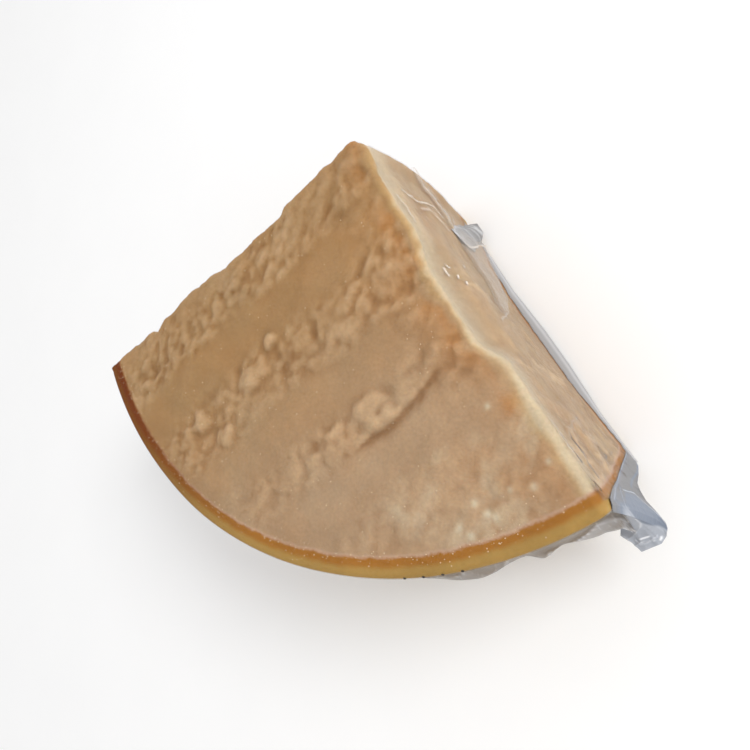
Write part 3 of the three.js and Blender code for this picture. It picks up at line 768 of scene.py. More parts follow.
def surface_values(surface):
    """What the paste's finish follows: depth under the rind, hollows with painted shade, crowns with painted
    light, and tints.
    """
    plan, level, hollow, on_top = (surface[key] for key in ("plan", "level", "hollow", "on_top"))
    across, along = face_places(plan)
    distance = abs(plan - AXIS)
    depth = np.minimum(barrel_radius(np.minimum(level, BLOCK_HEIGHT)) - distance, level)
    right_side = (surface["place"] >= 0) & (surface["place"] <= 1) & (on_top < 0.5)
    top = BLOCK_HEIGHT + 0 * across
    top_place = right_place(across, top)
    retreat = -wall_relief(top_place, outline_point(top_place, top), BLOCK_HEIGHT)
    edge_line = along - np.where(across > 0, retreat, 0)
    uneven = waves(across, along, 0 * across, *UNEVEN)
    fine = waves(across, along, 0 * across, *FINE)

    warmth, yellow, cream = edge_tints(across, edge_line, uneven, fine)
    warmth = np.minimum(on_top * (warmth + patches_at(across, along, WARM_PATCHES)), 1)
    down = 1 - smooth_step(0, CREAM_DOWN["reach"] + CREAM_DOWN["uneven"] * uneven, BLOCK_HEIGHT - level)
    rim = np.where(right_side, CREAM_DOWN["share"] * down, CREAM_EDGE["share"] * on_top * cream)
    lumps = white_lumps(plan, across, along, uneven, fine)
    # The small whitish spots add painted glints to the cream tint
    whitish = WHITE_LUMPS["share"] * lumps + patches_at(across, along, WHITE_SPOTS_AND_GLINTS)
    rim = np.maximum(rim, on_top * whitish)

    # Crumbs of the right face are painted: light on their crowns and shade between them
    crumbled = crumbled_share(across, level) * right_side
    crumbs = sum(share * waves(across, level * stretch, 0 * across, size, seed)
                 for size, stretch, share, seed in CRUMBS)
    # Beside the rind and in broad patches the top face is darker or paler than the rest
    rough = on_top * np.minimum(band_strength(across, along), 1)
    ring = smooth_step(DARK_RING["from"], DARK_RING["to"], distance)
    ring = ring * smooth_step(*DARK_RING["across"], across)
    # The small dark patches paint shade into pits
    change = on_top * (patches_at(across, along, TONE_PATCHES_AND_PIT_SHADE) - DARK_RING["change"] * ring)
    slow = waves(plan.real, plan.imag, 0 * across, ROUGH_TONES["size"], 90)
    change = change + ROUGH_TONES["change"] * rough * slow
    # The painted shade of the short cracks lies in the valleys
    valley = smooth_step(*SHORT_CRACK_SHADE["valley"], hollow)
    crack = SHORT_CRACK_SHADE["share"] * short_crack_shade(plan, fine) * rough * valley
    long_crack_shade = on_top * crack_relief(across, along)[1]
    # Less painted shade in the hollows by the apex
    hollow = hollow * (1 - patches_at(across, along, CALM_APEX))
    pale = on_top * (PALE_LUMPS["white"] * lumps + PALE_LUMPS["rough"] * rough)
    # Painted shade of cracks, pits and crumbs darkens the paste with its darker tones, and the painted light
    # of crumbs lightens it with its paler tones
    dark = crack + long_crack_shade + CRUMB_LIGHT_AND_SHADE["dark"] * crumbled * np.maximum(-crumbs, 0)
    dark = dark + np.maximum(-change, 0)
    pale = pale + CRUMB_LIGHT_AND_SHADE["pale"] * crumbled * np.maximum(crumbs, 0) + np.maximum(change, 0)
    angle = np.angle(plan - AXIS) + math.pi / 2
    return {
        "rind_depth": depth,
        "rough": rough,
        # hollow is painted shade in hollows, cracks, pits and between crumbs, with the darker tones; crown is
        # painted light on crowns and crumbs, with the paler tones
        "hollow": np.clip(hollow + dark, 0, 1),
        "crown": np.clip(pale - hollow, 0, 1),
        "warmth": warmth,
        "edge": on_top * yellow,
        "rim": rim,
        "pallor": np.where(right_side, 1.0, 0.0),
        "far": smooth_step(*GREYER_PASTE, across) * on_top,
        "dusk": smooth_step(0, DUSK_ANGLE, -angle),
    }


def piece_from(name, plan, level, faces, material, values=None, edges=()):
    """A mesh object with its place in its mesh, smooth but for sharp bends."""
    mesh = bpy.data.meshes.new(name)
    points = np.stack([plan.real, plan.imag, level], -1).reshape(-1, 3) * MM
    mesh.from_pydata(points.tolist(), list(edges), faces)
    for key, value in (values or {}).items():
        attribute = mesh.attributes.new(key, "FLOAT", "POINT")
        attribute.data.foreach_set("value", np.asarray(value, np.float32))
    mesh.materials.append(material)
    mesh.shade_smooth()
    mesh.set_sharp_from_angle(angle=SHARP_BEND)
    piece = bpy.data.objects.new(name, mesh)
    bpy.context.scene.collection.objects.link(piece)
    return piece


def with_modifiers_applied(piece, name):
    """The evaluated mesh of a piece as a plain piece in its place."""
    graph = bpy.context.evaluated_depsgraph_get()
    mesh = bpy.data.meshes.new_from_object(piece.evaluated_get(graph))
    old = piece.data
    bpy.data.objects.remove(piece)
    bpy.data.meshes.remove(old)
    mesh.name = name
    made = bpy.data.objects.new(name, mesh)
    bpy.context.scene.collection.objects.link(made)
    return made


def hand_over(piece, slot, *nodes):
    """The piece stands for its nodes and rides on the one body; its slot is not used."""
    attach(piece, "root")
    if nodes:
        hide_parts(*nodes)


def add_node(tree, kind, inputs=None, stops=None, **settings):
    """One node with its settings. An input given as a socket is linked, and any other value is set."""
    node = tree.nodes.new(kind)
    for name, value in settings.items():
        setattr(node, name, value)
    for name, value in (inputs or {}).items():
        if isinstance(value, bpy.types.NodeSocket):
            tree.links.new(value, node.inputs[name])
        else:
            node.inputs[name].default_value = value
    for at, (position, colour) in enumerate(stops or []):
        elements = node.color_ramp.elements
        element = elements[at] if at < 2 else elements.new(position)
        element.position = position
        element.color = colour
    return node


def new_material(name):
    material = bpy.data.materials.new(name)
    material.use_nodes = True
    material.node_tree.nodes.clear()
    return material, material.node_tree


def per_size(millimetres):
    """Scale of a pattern on Object coordinates whose cells are that wide."""
    return 1 / (millimetres * MM)


# The paste's patterns as (width in millimetres, detail, roughness), what is made of them and of its
# values as (source, from, to, least, most), and how uneven the rind's layers are in millimetres. Their
# colours run along a ramp, and the paste starts near its end
PASTE_VALUES = "rind_depth", "rough", "hollow", "crown", "warmth", "edge", "rim", "pallor", "far", "dusk"
PASTE_PATTERNS = {
    "cloud": (34, 3.0, 0.5), "grain": (1.6, 4.0, 0.6), "mottle": (15, 3.0, 0.5), "curd": (6, 3.0, 0.5),
}
PASTE_RANGES = {
    "cloudy": ("cloud", 0.35, 0.7, 0.0, 0.22),
    "grains": ("grain", 0.25, 0.75, 0.88, 1.1),
    "mottles": ("mottle", 0.3, 0.7, 0.93, 1.07),
    "rougher": ("rough", 0.0, 1.0, 0.8, 2.4),
}
RIND_UNEVEN = {"curd": 2.4, "grain": 1.6}
RIND_SHIFT = 0.8
RAMP_PER_MILLIMETRE = 0.084
PASTE_BORDER = 0.84, 0.98


def ripened_paste(cheese):
    """Straw paste, fat and granular, broken open: dull with a fat sheen, a little light goes through it.
    Towards the dry rind it turns orange brown, then yellow brown."""
    material, tree = new_material("ripened_cheese_paste_and_rind")
    place = add_node(tree, "ShaderNodeTexCoord").outputs["Object"]
    value = {
        name: add_node(tree, "ShaderNodeAttribute", attribute_name=name).outputs["Fac"]
        for name in PASTE_VALUES
    }
    for name, (millimetres, detail, roughness) in PASTE_PATTERNS.items():
        value[name] = add_node(tree, "ShaderNodeTexNoise", {
            "Vector": place, "Scale": per_size(millimetres), "Detail": detail, "Roughness": roughness,
        }).outputs["Fac"]
    for name, (source, low, high, least, most) in PASTE_RANGES.items():
        value[name] = add_node(tree, "ShaderNodeMapRange", {
            "Value": value[source], "From Min": low, "From Max": high, "To Min": least, "To Max": most,
        }).outputs[0]

    # Each tint lies over those before it, as far as its value and its share say
    # The hollow tint is painted shade with darker tones, the crown tint painted light with paler tones, and
    # the rim tint partly a painted highlight
    tints = [
        ("far", 1.0, cheese.paste_far), ("pallor", 1.0, cheese.paste_pale),
        ("cloudy", 1.0, cheese.paste_warm), ("warmth", 0.7, cheese.paste_warm),
        ("hollow", 0.56, cheese.paste_shade_and_dark_tone), ("crown", 0.54, cheese.paste_crown_light_and_pale),
        ("edge", 0.6, cheese.edge), ("rim", 0.8, cheese.rim),
    ]
    colour = tuple(cheese.paste)
    for name, share, tint in tints:
        part = add_node(tree, "ShaderNodeMath", {0: value[name], 1: share}, operation="MULTIPLY")
        colour = add_node(tree, "ShaderNodeMix", {0: part.outputs[0], 6: colour, 7: tuple(tint)},
                          data_type="RGBA").outputs[2]

    # The rind's layers follow the depth in millimetres, made a little uneven
    shifted = value["rind_depth"]
    for name, millimetres in RIND_UNEVEN.items():
        shifted = add_node(tree, "ShaderNodeMath", {0: value[name], 1: millimetres, 2: shifted},
                           operation="MULTIPLY_ADD").outputs[0]
    shifted = add_node(tree, "ShaderNodeMath", {0: shifted, 1: RIND_SHIFT}, operation="SUBTRACT").outputs[0]
    depth = add_node(tree, "ShaderNodeMath", {0: shifted, 1: RAMP_PER_MILLIMETRE},
                     operation="MULTIPLY").outputs[0]
    layers = add_node(tree, "ShaderNodeValToRGB", {"Fac": depth}, stops=[
        (0.0, tuple(cheese.rind_outer)), (1.0, tuple(cheese.pale_line)),
        (0.4, tuple(cheese.rind_outer)), (0.6, tuple(cheese.rind_inner)),
        (0.77, tuple(cheese.rind_inner)), (0.9, tuple(cheese.pale_line)),
    ]).outputs["Color"]
    dusky = add_node(tree, "ShaderNodeMix", {0: value["dusk"], 6: layers, 7: tuple(cheese.rind_dark)},
                     data_type="RGBA", blend_type="MULTIPLY").outputs[2]
    start, end = PASTE_BORDER
    inside = add_node(tree, "ShaderNodeMapRange", {"Value": depth, "From Min": start, "From Max": end})
    colour = add_node(tree, "ShaderNodeMix", {0: inside.outputs[0], 6: dusky, 7: colour},
                      data_type="RGBA").outputs[2]

    speckle = add_node(tree, "ShaderNodeMath", {0: value["grains"], 1: value["mottles"]},
                       operation="MULTIPLY")
    shade = add_node(tree, "ShaderNodeVectorMath", {0: colour, 1: speckle.outputs[0]},
                     operation="MULTIPLY").outputs[0]
    # The grain is coarser to the eye where the paste is cracked than on its smooth strips
    coarse = add_node(tree, "ShaderNodeMath", {0: value["grain"], 1: value["rougher"]}, operation="MULTIPLY")
    bump = add_node(tree, "ShaderNodeBump", {
        "Height": coarse.outputs[0], "Strength": 0.35, "Distance": 0.4 * MM,
    })
    bump = add_node(tree, "ShaderNodeBump", {
        "Height": value["curd"], "Strength": 0.4, "Distance": 1.2 * MM, "Normal": bump.outputs[0],
    }).outputs[0]
    surface = add_node(tree, "ShaderNodeBsdfPrincipled", {
        "Base Color": shade, "Roughness": 0.6, "IOR": 1.45, "Specular IOR Level": 0.08,
        "Subsurface Weight": 0.25, "Subsurface Radius": (1.0, 0.5, 0.25), "Subsurface Scale": 3.5 * MM,
        "Normal": bump,
    })
    add_node(tree, "ShaderNodeOutputMaterial", {"Surface": surface.outputs[0]})
    return material


def plain_material(name, colour, roughness, grain_width, darker):
    """A dull material with an uneven grain in millimetres, for crystals, pricks and the floor."""
    material, tree = new_material(name)
    place = add_node(tree, "ShaderNodeTexCoord").outputs["Object"]
    grain = add_node(tree, "ShaderNodeTexNoise",
                     {"Vector": place, "Scale": per_size(grain_width), "Detail": 2.0}).outputs["Fac"]
    shade = add_node(tree, "ShaderNodeValToRGB", {"Fac": grain}, stops=[
        (0.3, tuple(c * (1 - darker) for c in colour[:3]) + (1.0,)), (0.7, tuple(colour)),
    ]).outputs["Color"]
    surface = add_node(tree, "ShaderNodeBsdfPrincipled", {"Base Color": shade, "Roughness": roughness})
    add_node(tree, "ShaderNodeOutputMaterial", {"Surface": surface.outputs[0]})
    return material


# Clear and slack film: width and depth of its wrinkles in millimetres, and its gloss
TAUT_FILM = {"wrinkle": 2.2, "depth": 0.35, "specular": 0.3, "roughness": 0.2}
SLACK_FILM = {"wrinkle": 3.5, "depth": 0.4, "specular": 0.08, "roughness": 0.35}
CLEAR_COLOUR = 0.985, 0.985, 0.99, 1.0
MIDDLE_TONE = 0.25


def clear_film(name, colours, haze, sheen, finish):
    """Polyamide and polyethylene vacuum film, blown and laminated: clear, with a crisp gloss that
    shows most at a low angle, a faint milky haze, and small wrinkles. Where it is folded or creased
    it is hazier, and its tone runs from the first colour to the last."""
    material, tree = new_material(name)
    place = add_node(tree, "ShaderNodeTexCoord").outputs["Object"]
    crumple = add_node(tree, "ShaderNodeTexNoise",
                       {"Vector": place, "Scale": per_size(finish["wrinkle"]), "Detail": 2.0}).outputs["Fac"]
    bump = add_node(tree, "ShaderNodeBump",
                    {"Height": crumple, "Strength": 0.5, "Distance": finish["depth"] * MM}).outputs[0]
    value = {
        key: add_node(tree, "ShaderNodeAttribute", attribute_name=key).outputs["Fac"]
        for key in ("haze", "tone", "matt")
    }
    # Pieces paint highlights on the film with a high tone and, on the right face, shade with a low one
    shade = add_node(tree, "ShaderNodeValToRGB", {"Fac": value["tone"]}, stops=[
        (0.0, tuple(colours[0])), (1.0, tuple(colours[-1])),
        *((MIDDLE_TONE, tuple(colour)) for colour in colours[1:-1]),
    ]).outputs["Color"]
    gloss = add_node(tree, "ShaderNodeBsdfPrincipled", {
        "Base Color": shade, "Roughness": finish["roughness"], "Specular IOR Level": finish["specular"],
        "Normal": bump,
    })
    clear = add_node(tree, "ShaderNodeBsdfTransparent", {"Color": CLEAR_COLOUR})
    # Reflectance grows with the fifth power towards a low angle, the same from both sides
    slant = add_node(tree, "ShaderNodeLayerWeight", {"Blend": 0.5, "Normal": bump}).outputs["Facing"]
    steep = add_node(tree, "ShaderNodeMath", {0: slant, 1: 5.0}, operation="POWER").outputs[0]
    bright = add_node(tree, "ShaderNodeMath", {0: 1.0, 1: value["matt"]}, operation="SUBTRACT").outputs[0]
    glint = add_node(tree, "ShaderNodeMath", {0: bright, 1: sheen}, operation="MULTIPLY").outputs[0]
    milky = add_node(tree, "ShaderNodeMath", {0: value["haze"], 1: haze}, operation="ADD").outputs[0]
    cover = add_node(tree, "ShaderNodeMath", {0: steep, 1: glint, 2: milky}, operation="MULTIPLY_ADD",
                     use_clamp=True).outputs[0]
    both = add_node(tree, "ShaderNodeMixShader", {0: cover, 1: clear.outputs[0], 2: gloss.outputs[0]})
    add_node(tree, "ShaderNodeOutputMaterial", {"Surface": both.outputs[0]})
    return material


# The clinging film: how far it stands off the deepest hollow and the plate, its haze on the top face,
# how matt it looks on the top face and on the side, and its faint creases on the left face as
# (size, slope, stretch along the height, sharpness, seed). Dusk starts at an angle from the middle
# of the arc, and the creases end between two depths under the top.
CLING = {"over_hollow": 0.8, "under_plate": 0.05, "top_haze": 0.008, "crease_haze": 0.06}
ON_PLATE = 0.01
MATT = {"top": 0.85, "side": 0.4, "side_at_dusk": 0.5, "dusk_from": 0.1}
CLING_CREASES = [(19, 0.5, 0.18, 24, 63), (31, -0.8, 0.25, 30, 65)]
CLING_BEND = {"reach": 14, "waves_a_side": 4, "size": 40}
CLING_GAPS = {"size": 60, "border": (-0.2, 0.2)}
CLING_TOP = {"from": 14, "to": 6}


def cling_creases(surface):
    """Haze of the faint creases that the clinging film has on the left face."""
    place, level, plan = surface["place"], surface["level"], surface["plan"]
    along = place * CLING_BEND["waves_a_side"]
    bend = CLING_BEND["reach"] * waves(along, level / CLING_BEND["size"], 0 * level, 1, 61)
    creases = 0 * level
    for turn, (size, slope, stretch, sharpness, seed) in zip((1, -1), CLING_CREASES):
        across = place * WHEEL_RADIUS + slope * level + turn * bend
        crease = (1 - abs(waves(across, level * stretch, 0 * level, size, seed))) ** sharpness
        creases = np.maximum(creases, crease)
    gaps = smooth_step(*CLING_GAPS["border"], waves(plan.real, plan.imag, level, CLING_GAPS["size"], 69))
    near_top = smooth_step(BLOCK_HEIGHT - CLING_TOP["from"], BLOCK_HEIGHT - CLING_TOP["to"], level)
    on_left = (place > 3) * (1 - near_top)
    return CLING["crease_haze"] * on_left * gaps * creases


def seam_values(place):
    """Height and width of the seam at a place, changing smoothly between its stations."""
    table = np.array(sorted(SEAM_STATIONS), float)
    index = np.clip(np.searchsorted(table[:, 0], place) - 1, 0, len(table) - 2)
    before, after = table[index], table[index + 1]
    part = smooth_step(before[:, 0], after[:, 0], place)[:, None]
    return (before + (after - before) * part)[:, 1:].T


def pleats(along, across, size, seed):
    """Folds with sharp crests that fan out, from 0 in a fold's foot to 1 on its crest."""
    swell = waves(along, 0 * along, 0 * along, PLEATS["lean_size"] * size, seed + 9)
    lean = along + PLEATS["lean"] * across * swell
    return (1 - abs(waves(lean, across * PLEATS["stretch"], 0 * across, size, seed))) ** 2


def seam_folds(place, reach, kind):
    """Folds with sharp crests across the seam, from 0 between them to 1 on a crest."""
    swell = waves(place[:, None] * kind["side"], reach, 0 * reach, kind["size"], kind["seed"])
    return np.clip(1 - FOLD_SHARPNESS * abs(swell), 0, 1) ** 2


def seam_sheet():
    """The loose seam along the arc, out from the wall."""
    first, last = SEAM_STATIONS[0][0], SEAM_STATIONS[-1][0]
    count = int(abs(last - first) * WHEEL_RADIUS / SEAM_CELL)
    place = np.linspace(first, last, count)
    height, width = seam_values(place)
    along = place * SEAM_RIPPLE["side"]
    ripple = SEAM_RIPPLE["height"] * waves(along, 0 * place, 0 * place, SEAM_RIPPLE["size"], 51)
    width = width * (1 + SEAM_RIPPLE["wider"] * ripple)
    normal = outline_normal(place, height)
    inner = wall_point(place, height) + normal * ROOT_GAP
    share = np.linspace(0, 1, SEAM_COLUMNS)[None, :]
    plan = inner[:, None] + normal[:, None] * (width[:, None] + SEAM_HIDDEN) * share
    reach = width[:, None] * share
    fold = seam_folds(place, reach, LARGE_FOLDS)
    fine = seam_folds(place, reach, SMALL_FOLDS)
    lift = fold - FOLD_MIDDLE + SMALL_FOLD_SHARE * (fine - FOLD_MIDDLE) * share
    bend = share * ripple[:, None] + SEAM_FOLD * np.sqrt(share) * lift
    # Crests get a painted highlight in their tone
    crest = smooth_step(*LARGE_FOLDS["crest"], fold)
    crest = crest + SMALL_FOLDS["brightness"] * smooth_step(*SMALL_FOLDS["crest"], fine)
    # The seam is creased more by the rind's corner, and its tone is painted brighter there as light against
    # the shadow that falls on it
    crumpled = smooth_step(*SEAM_PAINTED_LIGHT, place)[:, None]
    tone = (SEAM_TONE["crest"] + SEAM_TONE["corner_crest_highlight"] * crumpled) * crest
    tone = tone + SEAM_TONE["crumpled"] * crumpled
    haze = SEAM_HAZE["crest"] * crest - SEAM_HAZE["between"] * (1 - fold)
    return plan, height[:, None] + bend, haze, tone


def sheet_piece(name, grids, material):
    """A thin closed sheet made of grids, each with its plan, level, haze and tone."""
    parts, faces, start = [], [], 0
    for grid in grids:
        rows, columns = grid[0].shape
        index = np.arange(rows * columns).reshape(rows, columns) + start
        start += rows * columns
        faces += grid_faces(index)
        parts.append([(value + 0 * grid[0].real).ravel() for value in grid])
    plan, level, haze, tone = (np.concatenate(values) for values in zip(*parts))
    piece = piece_from(name + "_sheet", plan, level.real, faces, material,
                       {"haze": haze.real, "tone": tone.real})
    thickness = piece.modifiers.new("thickness", "SOLIDIFY")
    thickness.thickness = FILM_THICKNESS * MM
    thickness.offset = 0
    return with_modifiers_applied(piece, name)


def beside_right(along, out):
    """Plan position from the distance along the right face and out from its line."""
    return AXIS + TOWARDS_RIGHT * along + RIGHT_OUT * out


def line_distance(spot, points):
    """Distance of positions from a bent line."""
    line = [complex(*point) for point in points]
    nearest = np.full(spot.shape, FAR_AWAY)
    for start, end in zip(line[:-1], line[1:]):
        step = end - start
        part = np.clip(((spot - start) * np.conj(step)).real / abs(step) ** 2, 0, 1)
        nearest = np.minimum(nearest, abs(spot - start - step * part))
    return nearest


def inside_share(spot, points, soft):
    """Share of a closed outline's inside at positions, rising over a soft border."""
    line = [complex(*point) for point in points]
    inside = np.zeros(spot.shape, bool)
    for start, end in zip(line, line[1:] + line[:1]):
        crosses = (start.imag > spot.imag) != (end.imag > spot.imag)
        rise = end.imag - start.imag
        at = start.real + (end.real - start.real) * (spot.imag - start.imag) / (rise if rise else 1)
        inside ^= crosses & (spot.real < at)
    return inside * smooth_step(0, soft, line_distance(spot, points + points[:1]))


def blended_rows(lines, rows, columns):
    """A grid stretched over matching lines of points, through which its columns run."""
    lines = np.array(lines, float)
    at = np.linspace(0, lines.shape[1] - 1, rows)
    lines = np.array([[np.interp(at, range(lines.shape[1]), line[:, part]) for part in range(3)]
                      for line in lines])
    across = np.linspace(0, len(lines) - 1, columns)
    low = np.clip(across.astype(int), 0, len(lines) - 2)
    share = (across - low)[:, None, None]
    grid = lines[low] * (1 - share) + lines[low + 1] * share
    return grid[:, 0].T, grid[:, 1].T, grid[:, 2].T


# Where the film stands off the right face as a flat strip, as (along, height) points, how soft its
# border is, and how far it lifts and how much it adds to the film's haze and tone
POCKET = [
    (31.7, 19.4), (32.7, 43.9), (42.4, 47.9), (50.7, 49.6), (57, 47.2), (65.7, 46.9), (73.2, 44.6),
    (88.4, 52.6), (99.6, 61.1), (104, 62.9), (93.7, 41.4), (79.5, 24.8), (64.8, 13.8), (51.6, 9.4),
    (39.2, 6.6), (29.8, 4.4),
]
POCKET_BORDER = 2.5
POCKET_LIFT = 1.2
POCKET_HAZE = 0.17
POCKET_TONE = 0.25
UPPER_POCKET_EDGE = POCKET[2:9]
LOWER_POCKET_EDGE = POCKET[:1] + POCKET[:10:-1]

# Creases of the film on the right face: (along, height) points, half width, how far it stands out,
# haze and tone. A tone above the film's paints light on a crease, and the short marks with tone 1 are
# painted glints; a lower tone paints shade on it
FILM_CREASES = [
    ([(1, 65), (7, 67), (10, 62), (11, 56), (14, 52), (16, 48), (21, 47), (28, 49), (35, 52)],
     1.9, 1.3, 0.22, 0.75),
    ([(4, 64), (10, 60), (13, 52), (19, 47), (29, 47), (38, 49), (48, 43), (33, 5)],
     0.5, 0.5, 0.3, 0.95),
    ([(6, 62), (8, 52), (9, 44), (14, 36), (22, 35), (30, 43)], 0.5, 0.5, 0.22, 0.7),
    ([(32, 100), (33.5, 96), (33.7, 87), (29, 73), (27, 63), (33, 58)], 0.55, 0.4, 0.38, 0.95),
    ([(39, 107.5), (47, 106), (56, 106)], 0.5, 0.3, 0.22, 0.9),
    ([(38, 86), (35, 75), (38, 68), (43, 60)], 0.9, 0.5, 0.18, 0.8),
    ([(79.5, 24.8), (93.7, 41.4), (104, 63), (108, 72)], 0.6, 0.5, 0.25, 0.7),
    (LOWER_POCKET_EDGE, 0.6, 0.6, 0.4, 0.9),
    (UPPER_POCKET_EDGE, 0.6, 0.5, 0.2, 0.3),
    ([(82, 99.5), (85.5, 98.3)], 0.5, 0.3, 0.5, 1.0),
    ([(79.6, 96.5), (80.6, 94.5)], 0.5, 0.2, 0.75, 1.0),
    ([(84.2, 90.5), (86.6, 92)], 0.5, 0.2, 0.75, 1.0),
    ([(74, 75.5), (75.4, 77)], 0.55, 0.2, 0.7, 1.0),
    ([(88.2, 86.6), (89.3, 87.4)], 0.55, 0.2, 0.7, 1.0),
    ([(166, 67), (174, 94), (179, 99), (186, 98), (193, 100), (197.5, 101)], 0.8, 0.8, 0.1, 0.5),
    ([(170, 109), (181, 110), (186, 107.7), (191, 107.4)], 0.6, 0.5, 0.15, 0.8),
    ([(182, 40), (186, 62), (190, 84)], 0.8, 0.7, 0.08, 0.3),
    ([(199, 110), (201.5, 108)], 1.2, 0.8, 0.5, 1.0),
]

# The sheet over the right face: its reach as (from, to) along and in height, its grid, how far it
# lies from the paste, its tone, over what heights it comes down to the paste at its ends, and how
# often the relief that it bridges is blurred. Then how much wider a crease's tone counts than its
# height, how the creases waver as (reach, size, seed) and how much of that goes up, the fine wrinkles
# that fan out from the rind's corner with a painted highlight, and the brown of the paste in their
# painted shadow.
RIGHT_FILM_REACH = (2, 206), (3, BLOCK_HEIGHT - 1.5)
RIGHT_FILM_GRID = 270, 130
RIGHT_FILM_GAP = 0.75
RIGHT_FILM_TONE = 0.4
RIGHT_FILM_ENDS = {"foot": 4, "top": 3}
BRIDGING_PASSES = 12
CREASE_TONE_REACH = 1.3
CREASE_WAVER = [(0.9, 5, 95), (0.5, 2.2, 96)]
WAVER_UP = 0.7
FAN = {"lean": 0.45, "bend": 2.5, "bend_size": 9}
WRINKLES = {
    "size": 5, "stretch": 0.12, "sharpness": 5, "from": 148, "to": 176, "lift": 0.2, "haze": 0.035,
    "tone": 0.85,
}
WRINKLE_SHADOW = {
    "beside": 1.2, "sharpness": 7, "from": 144, "to": 168, "gaps": 8, "gap_border": (-0.4, 0.1),
    "haze": 0.13, "brown_at": 0.35,
}

# The tab under the apex as (along, out, height): its upper edge, its middle and its lower edge. Then
# its grid, its folds, which run over a mix of its directions, the line of its brightest crease as
# (along, out) points, and its tones and haze. The brighter tones of crests and of that crease are
# painted highlights.
TAB = [
    [(25, 1.6, 36), (18.4, 3, 14), (17.4, 6.3, 10), (19.5, 10, 8.5)],
    [(36, 2.6, 48), (32, 4.5, 34), (27, 6.5, 18), (26.3, 9.1, 6)],
    [(38, 1.8, 52), (44.5, 1.8, 44.6), (46, 1.7, 30), (33.1, 2, 6)],
]
TAB_GRID = 46, 40
TAB_FOLD = {
    "size": 8, "by_along": 1.3, "by_level": 0.4, "by_out": 2, "crest": (0.8, 0.98), "middle": 0.5,
    "out": 0.9, "up": 1.4,
}
TAB_CREASE = [(31, 2.5), (38, 2.2), (40, 2)]
TAB_CREASE_HALF_WIDTH = 0.8
TAB_TONE = {"flat": 0.15, "crest": 0.3, "crease": 0.3}
TAB_HAZE = 0.1

# Outer edge of the taut band along the foot of the right face, as (along, out), its levels at the
# root and at the edge, its grid, its tone, and the light that it catches across its width
FOOT_BAND_EDGE = [(8, 3), (26.7, 4.8), (67.5, 3.5), (99.9, 5), (125, 5), (145.8, 4.1), (156, 3.5), (188, 4.4)]
FOOT_BAND_LEVELS = 6, 3.5
FOOT_BAND_GRID = 260, 9
FOOT_BAND_SWELL = {"size": 30, "height": 0.25}
FOOT_BAND_TONE = 0.32
FOOT_BAND_LIGHT = {"at": 0.72, "half_width": 0.16, "haze": 0.1, "tone": 0.2}

# The box fold and the flat ear at the right corner: root as (place, height) on the wall, and outer
# edge as (along, out, height)
EAR_RULINGS = [
    ((0.972, 8), (188.1, 4.4, 8)), ((0.97, 20), (190.8, 4.7, 12)), ((0.97, 38), (196, 4.6, 28)),
    ((0.971, 55), (200.2, 3.6, 40)), ((0.972, 70), (203.5, 3.6, 45)), ((0.973, 84), (209.1, 3.1, 45)),
    ((0.975, 94), (216, 4, 44)), ((0.98, 101), (220.8, 4.2, 42)), ((0.99, 104), (223.1, 3.3, 42)),
    ((1.003, 103), (225.4, 1.2, 42)), ((1.008, 96), (227.2, -2.6, 42)),
    ((1.014, 84), (226.2, -11.8, 42)), ((1.022, 72), (220.6, -13, 44)), ((1.035, 56), (216.2, -15.1, 45)),
]

# Folds of the ear as (ruling, share of the way from root to edge) points, half width, height, haze
# and tone, where a high tone is a painted highlight on a fold, then the outlines of its flat panel and
# of the dark fold beside the block's corner, and how soft their borders are. Then its grid, how far its
# root lies from the wall, the step over which the wall's direction is averaged there, where it is
# crumpled, as rulings and from what share of the way, and its tones and haze, where the crest tone is
# a painted highlight on the crumples.
EAR_FOLDS = [
    ([(5, 0.2), (4.9, 0.49), (5.9, 0.66), (6.5, 0.89), (7.1, 1)], 0.35, 0.4, 0.1, 0.75),
    ([(4.7, 0.13), (6.3, 0.15), (8.2, 0.16), (10.2, 0.34)], 0.4, 0.5, 0.05, 0.4),
    ([(12.8, 0.49), (12.2, 0.4), (11.6, 0.45), (12.1, 0.52), (12.8, 0.57)], 0.5, 0.7, 0.1, 0.9),
    ([(9.5, 0.28), (10.4, 0.49)], 0.5, 0.6, 0.1, 0.8),
    ([(12, 0.63), (11.7, 0.68)], 0.6, 0.6, 0.2, 1.0),
    ([(10.9, 0.74), (10.4, 0.74)], 0.6, 0.6, 0.2, 1.0),
    ([(9.8, 0.92), (9.6, 0.91)], 0.6, 0.4, 0.2, 1.0),
    ([(11.5, 0.85), (10.6, 0.86), (9.9, 0.8)], 0.5, 0.5, 0.05, 0.6),
    ([(0.4, 0.94), (1.8, 0.91), (3.1, 0.61), (4.2, 0.46)], 0.6, 0.5, 0.05, 0.25),
    ([(0, 0.05), (2, 0.04), (4, 0.04), (6, 0.05), (7, 0.05)], 0.5, 0.4, 0.05, 0.45),
]
EAR_PANEL = [
    (5, 0.2), (4.9, 0.49), (5.9, 0.66), (6.5, 0.89), (7.1, 1.02), (8.5, 1.02), (8.8, 0.75), (10.2, 0.34),
    (8.2, 0.16), (6.3, 0.15),
]
EAR_DARK = [(7.4, 0.01), (6, 0.03), (5.2, 0.11), (6.3, 0.15), (8.3, 0.14)]
EAR_BORDERS = {"panel": 0.5, "dark": 0.2}
EAR_GRID = 210, 110
EAR_ROOT_GAP = 0.6
EAR_CORNER_STEP = 0.02
EAR_CRUMPLED = {"rulings": (6.5, 8.5), "root": 0.2}
EAR_CRUMPLE = {
    "height": 1.1, "large": 5, "stretch": 1.1, "small": 4, "small_share": 0.7, "middle": 0.8,
    "crest": (0.45, 0.9),
}
EAR_TONES = {"boxed": 0.04, "panel": 0.21, "crumpled": 0.46, "crest": 0.25, "dark": 0.06}
EAR_HAZE = {"flat": 0.05, "crest": 0.05}
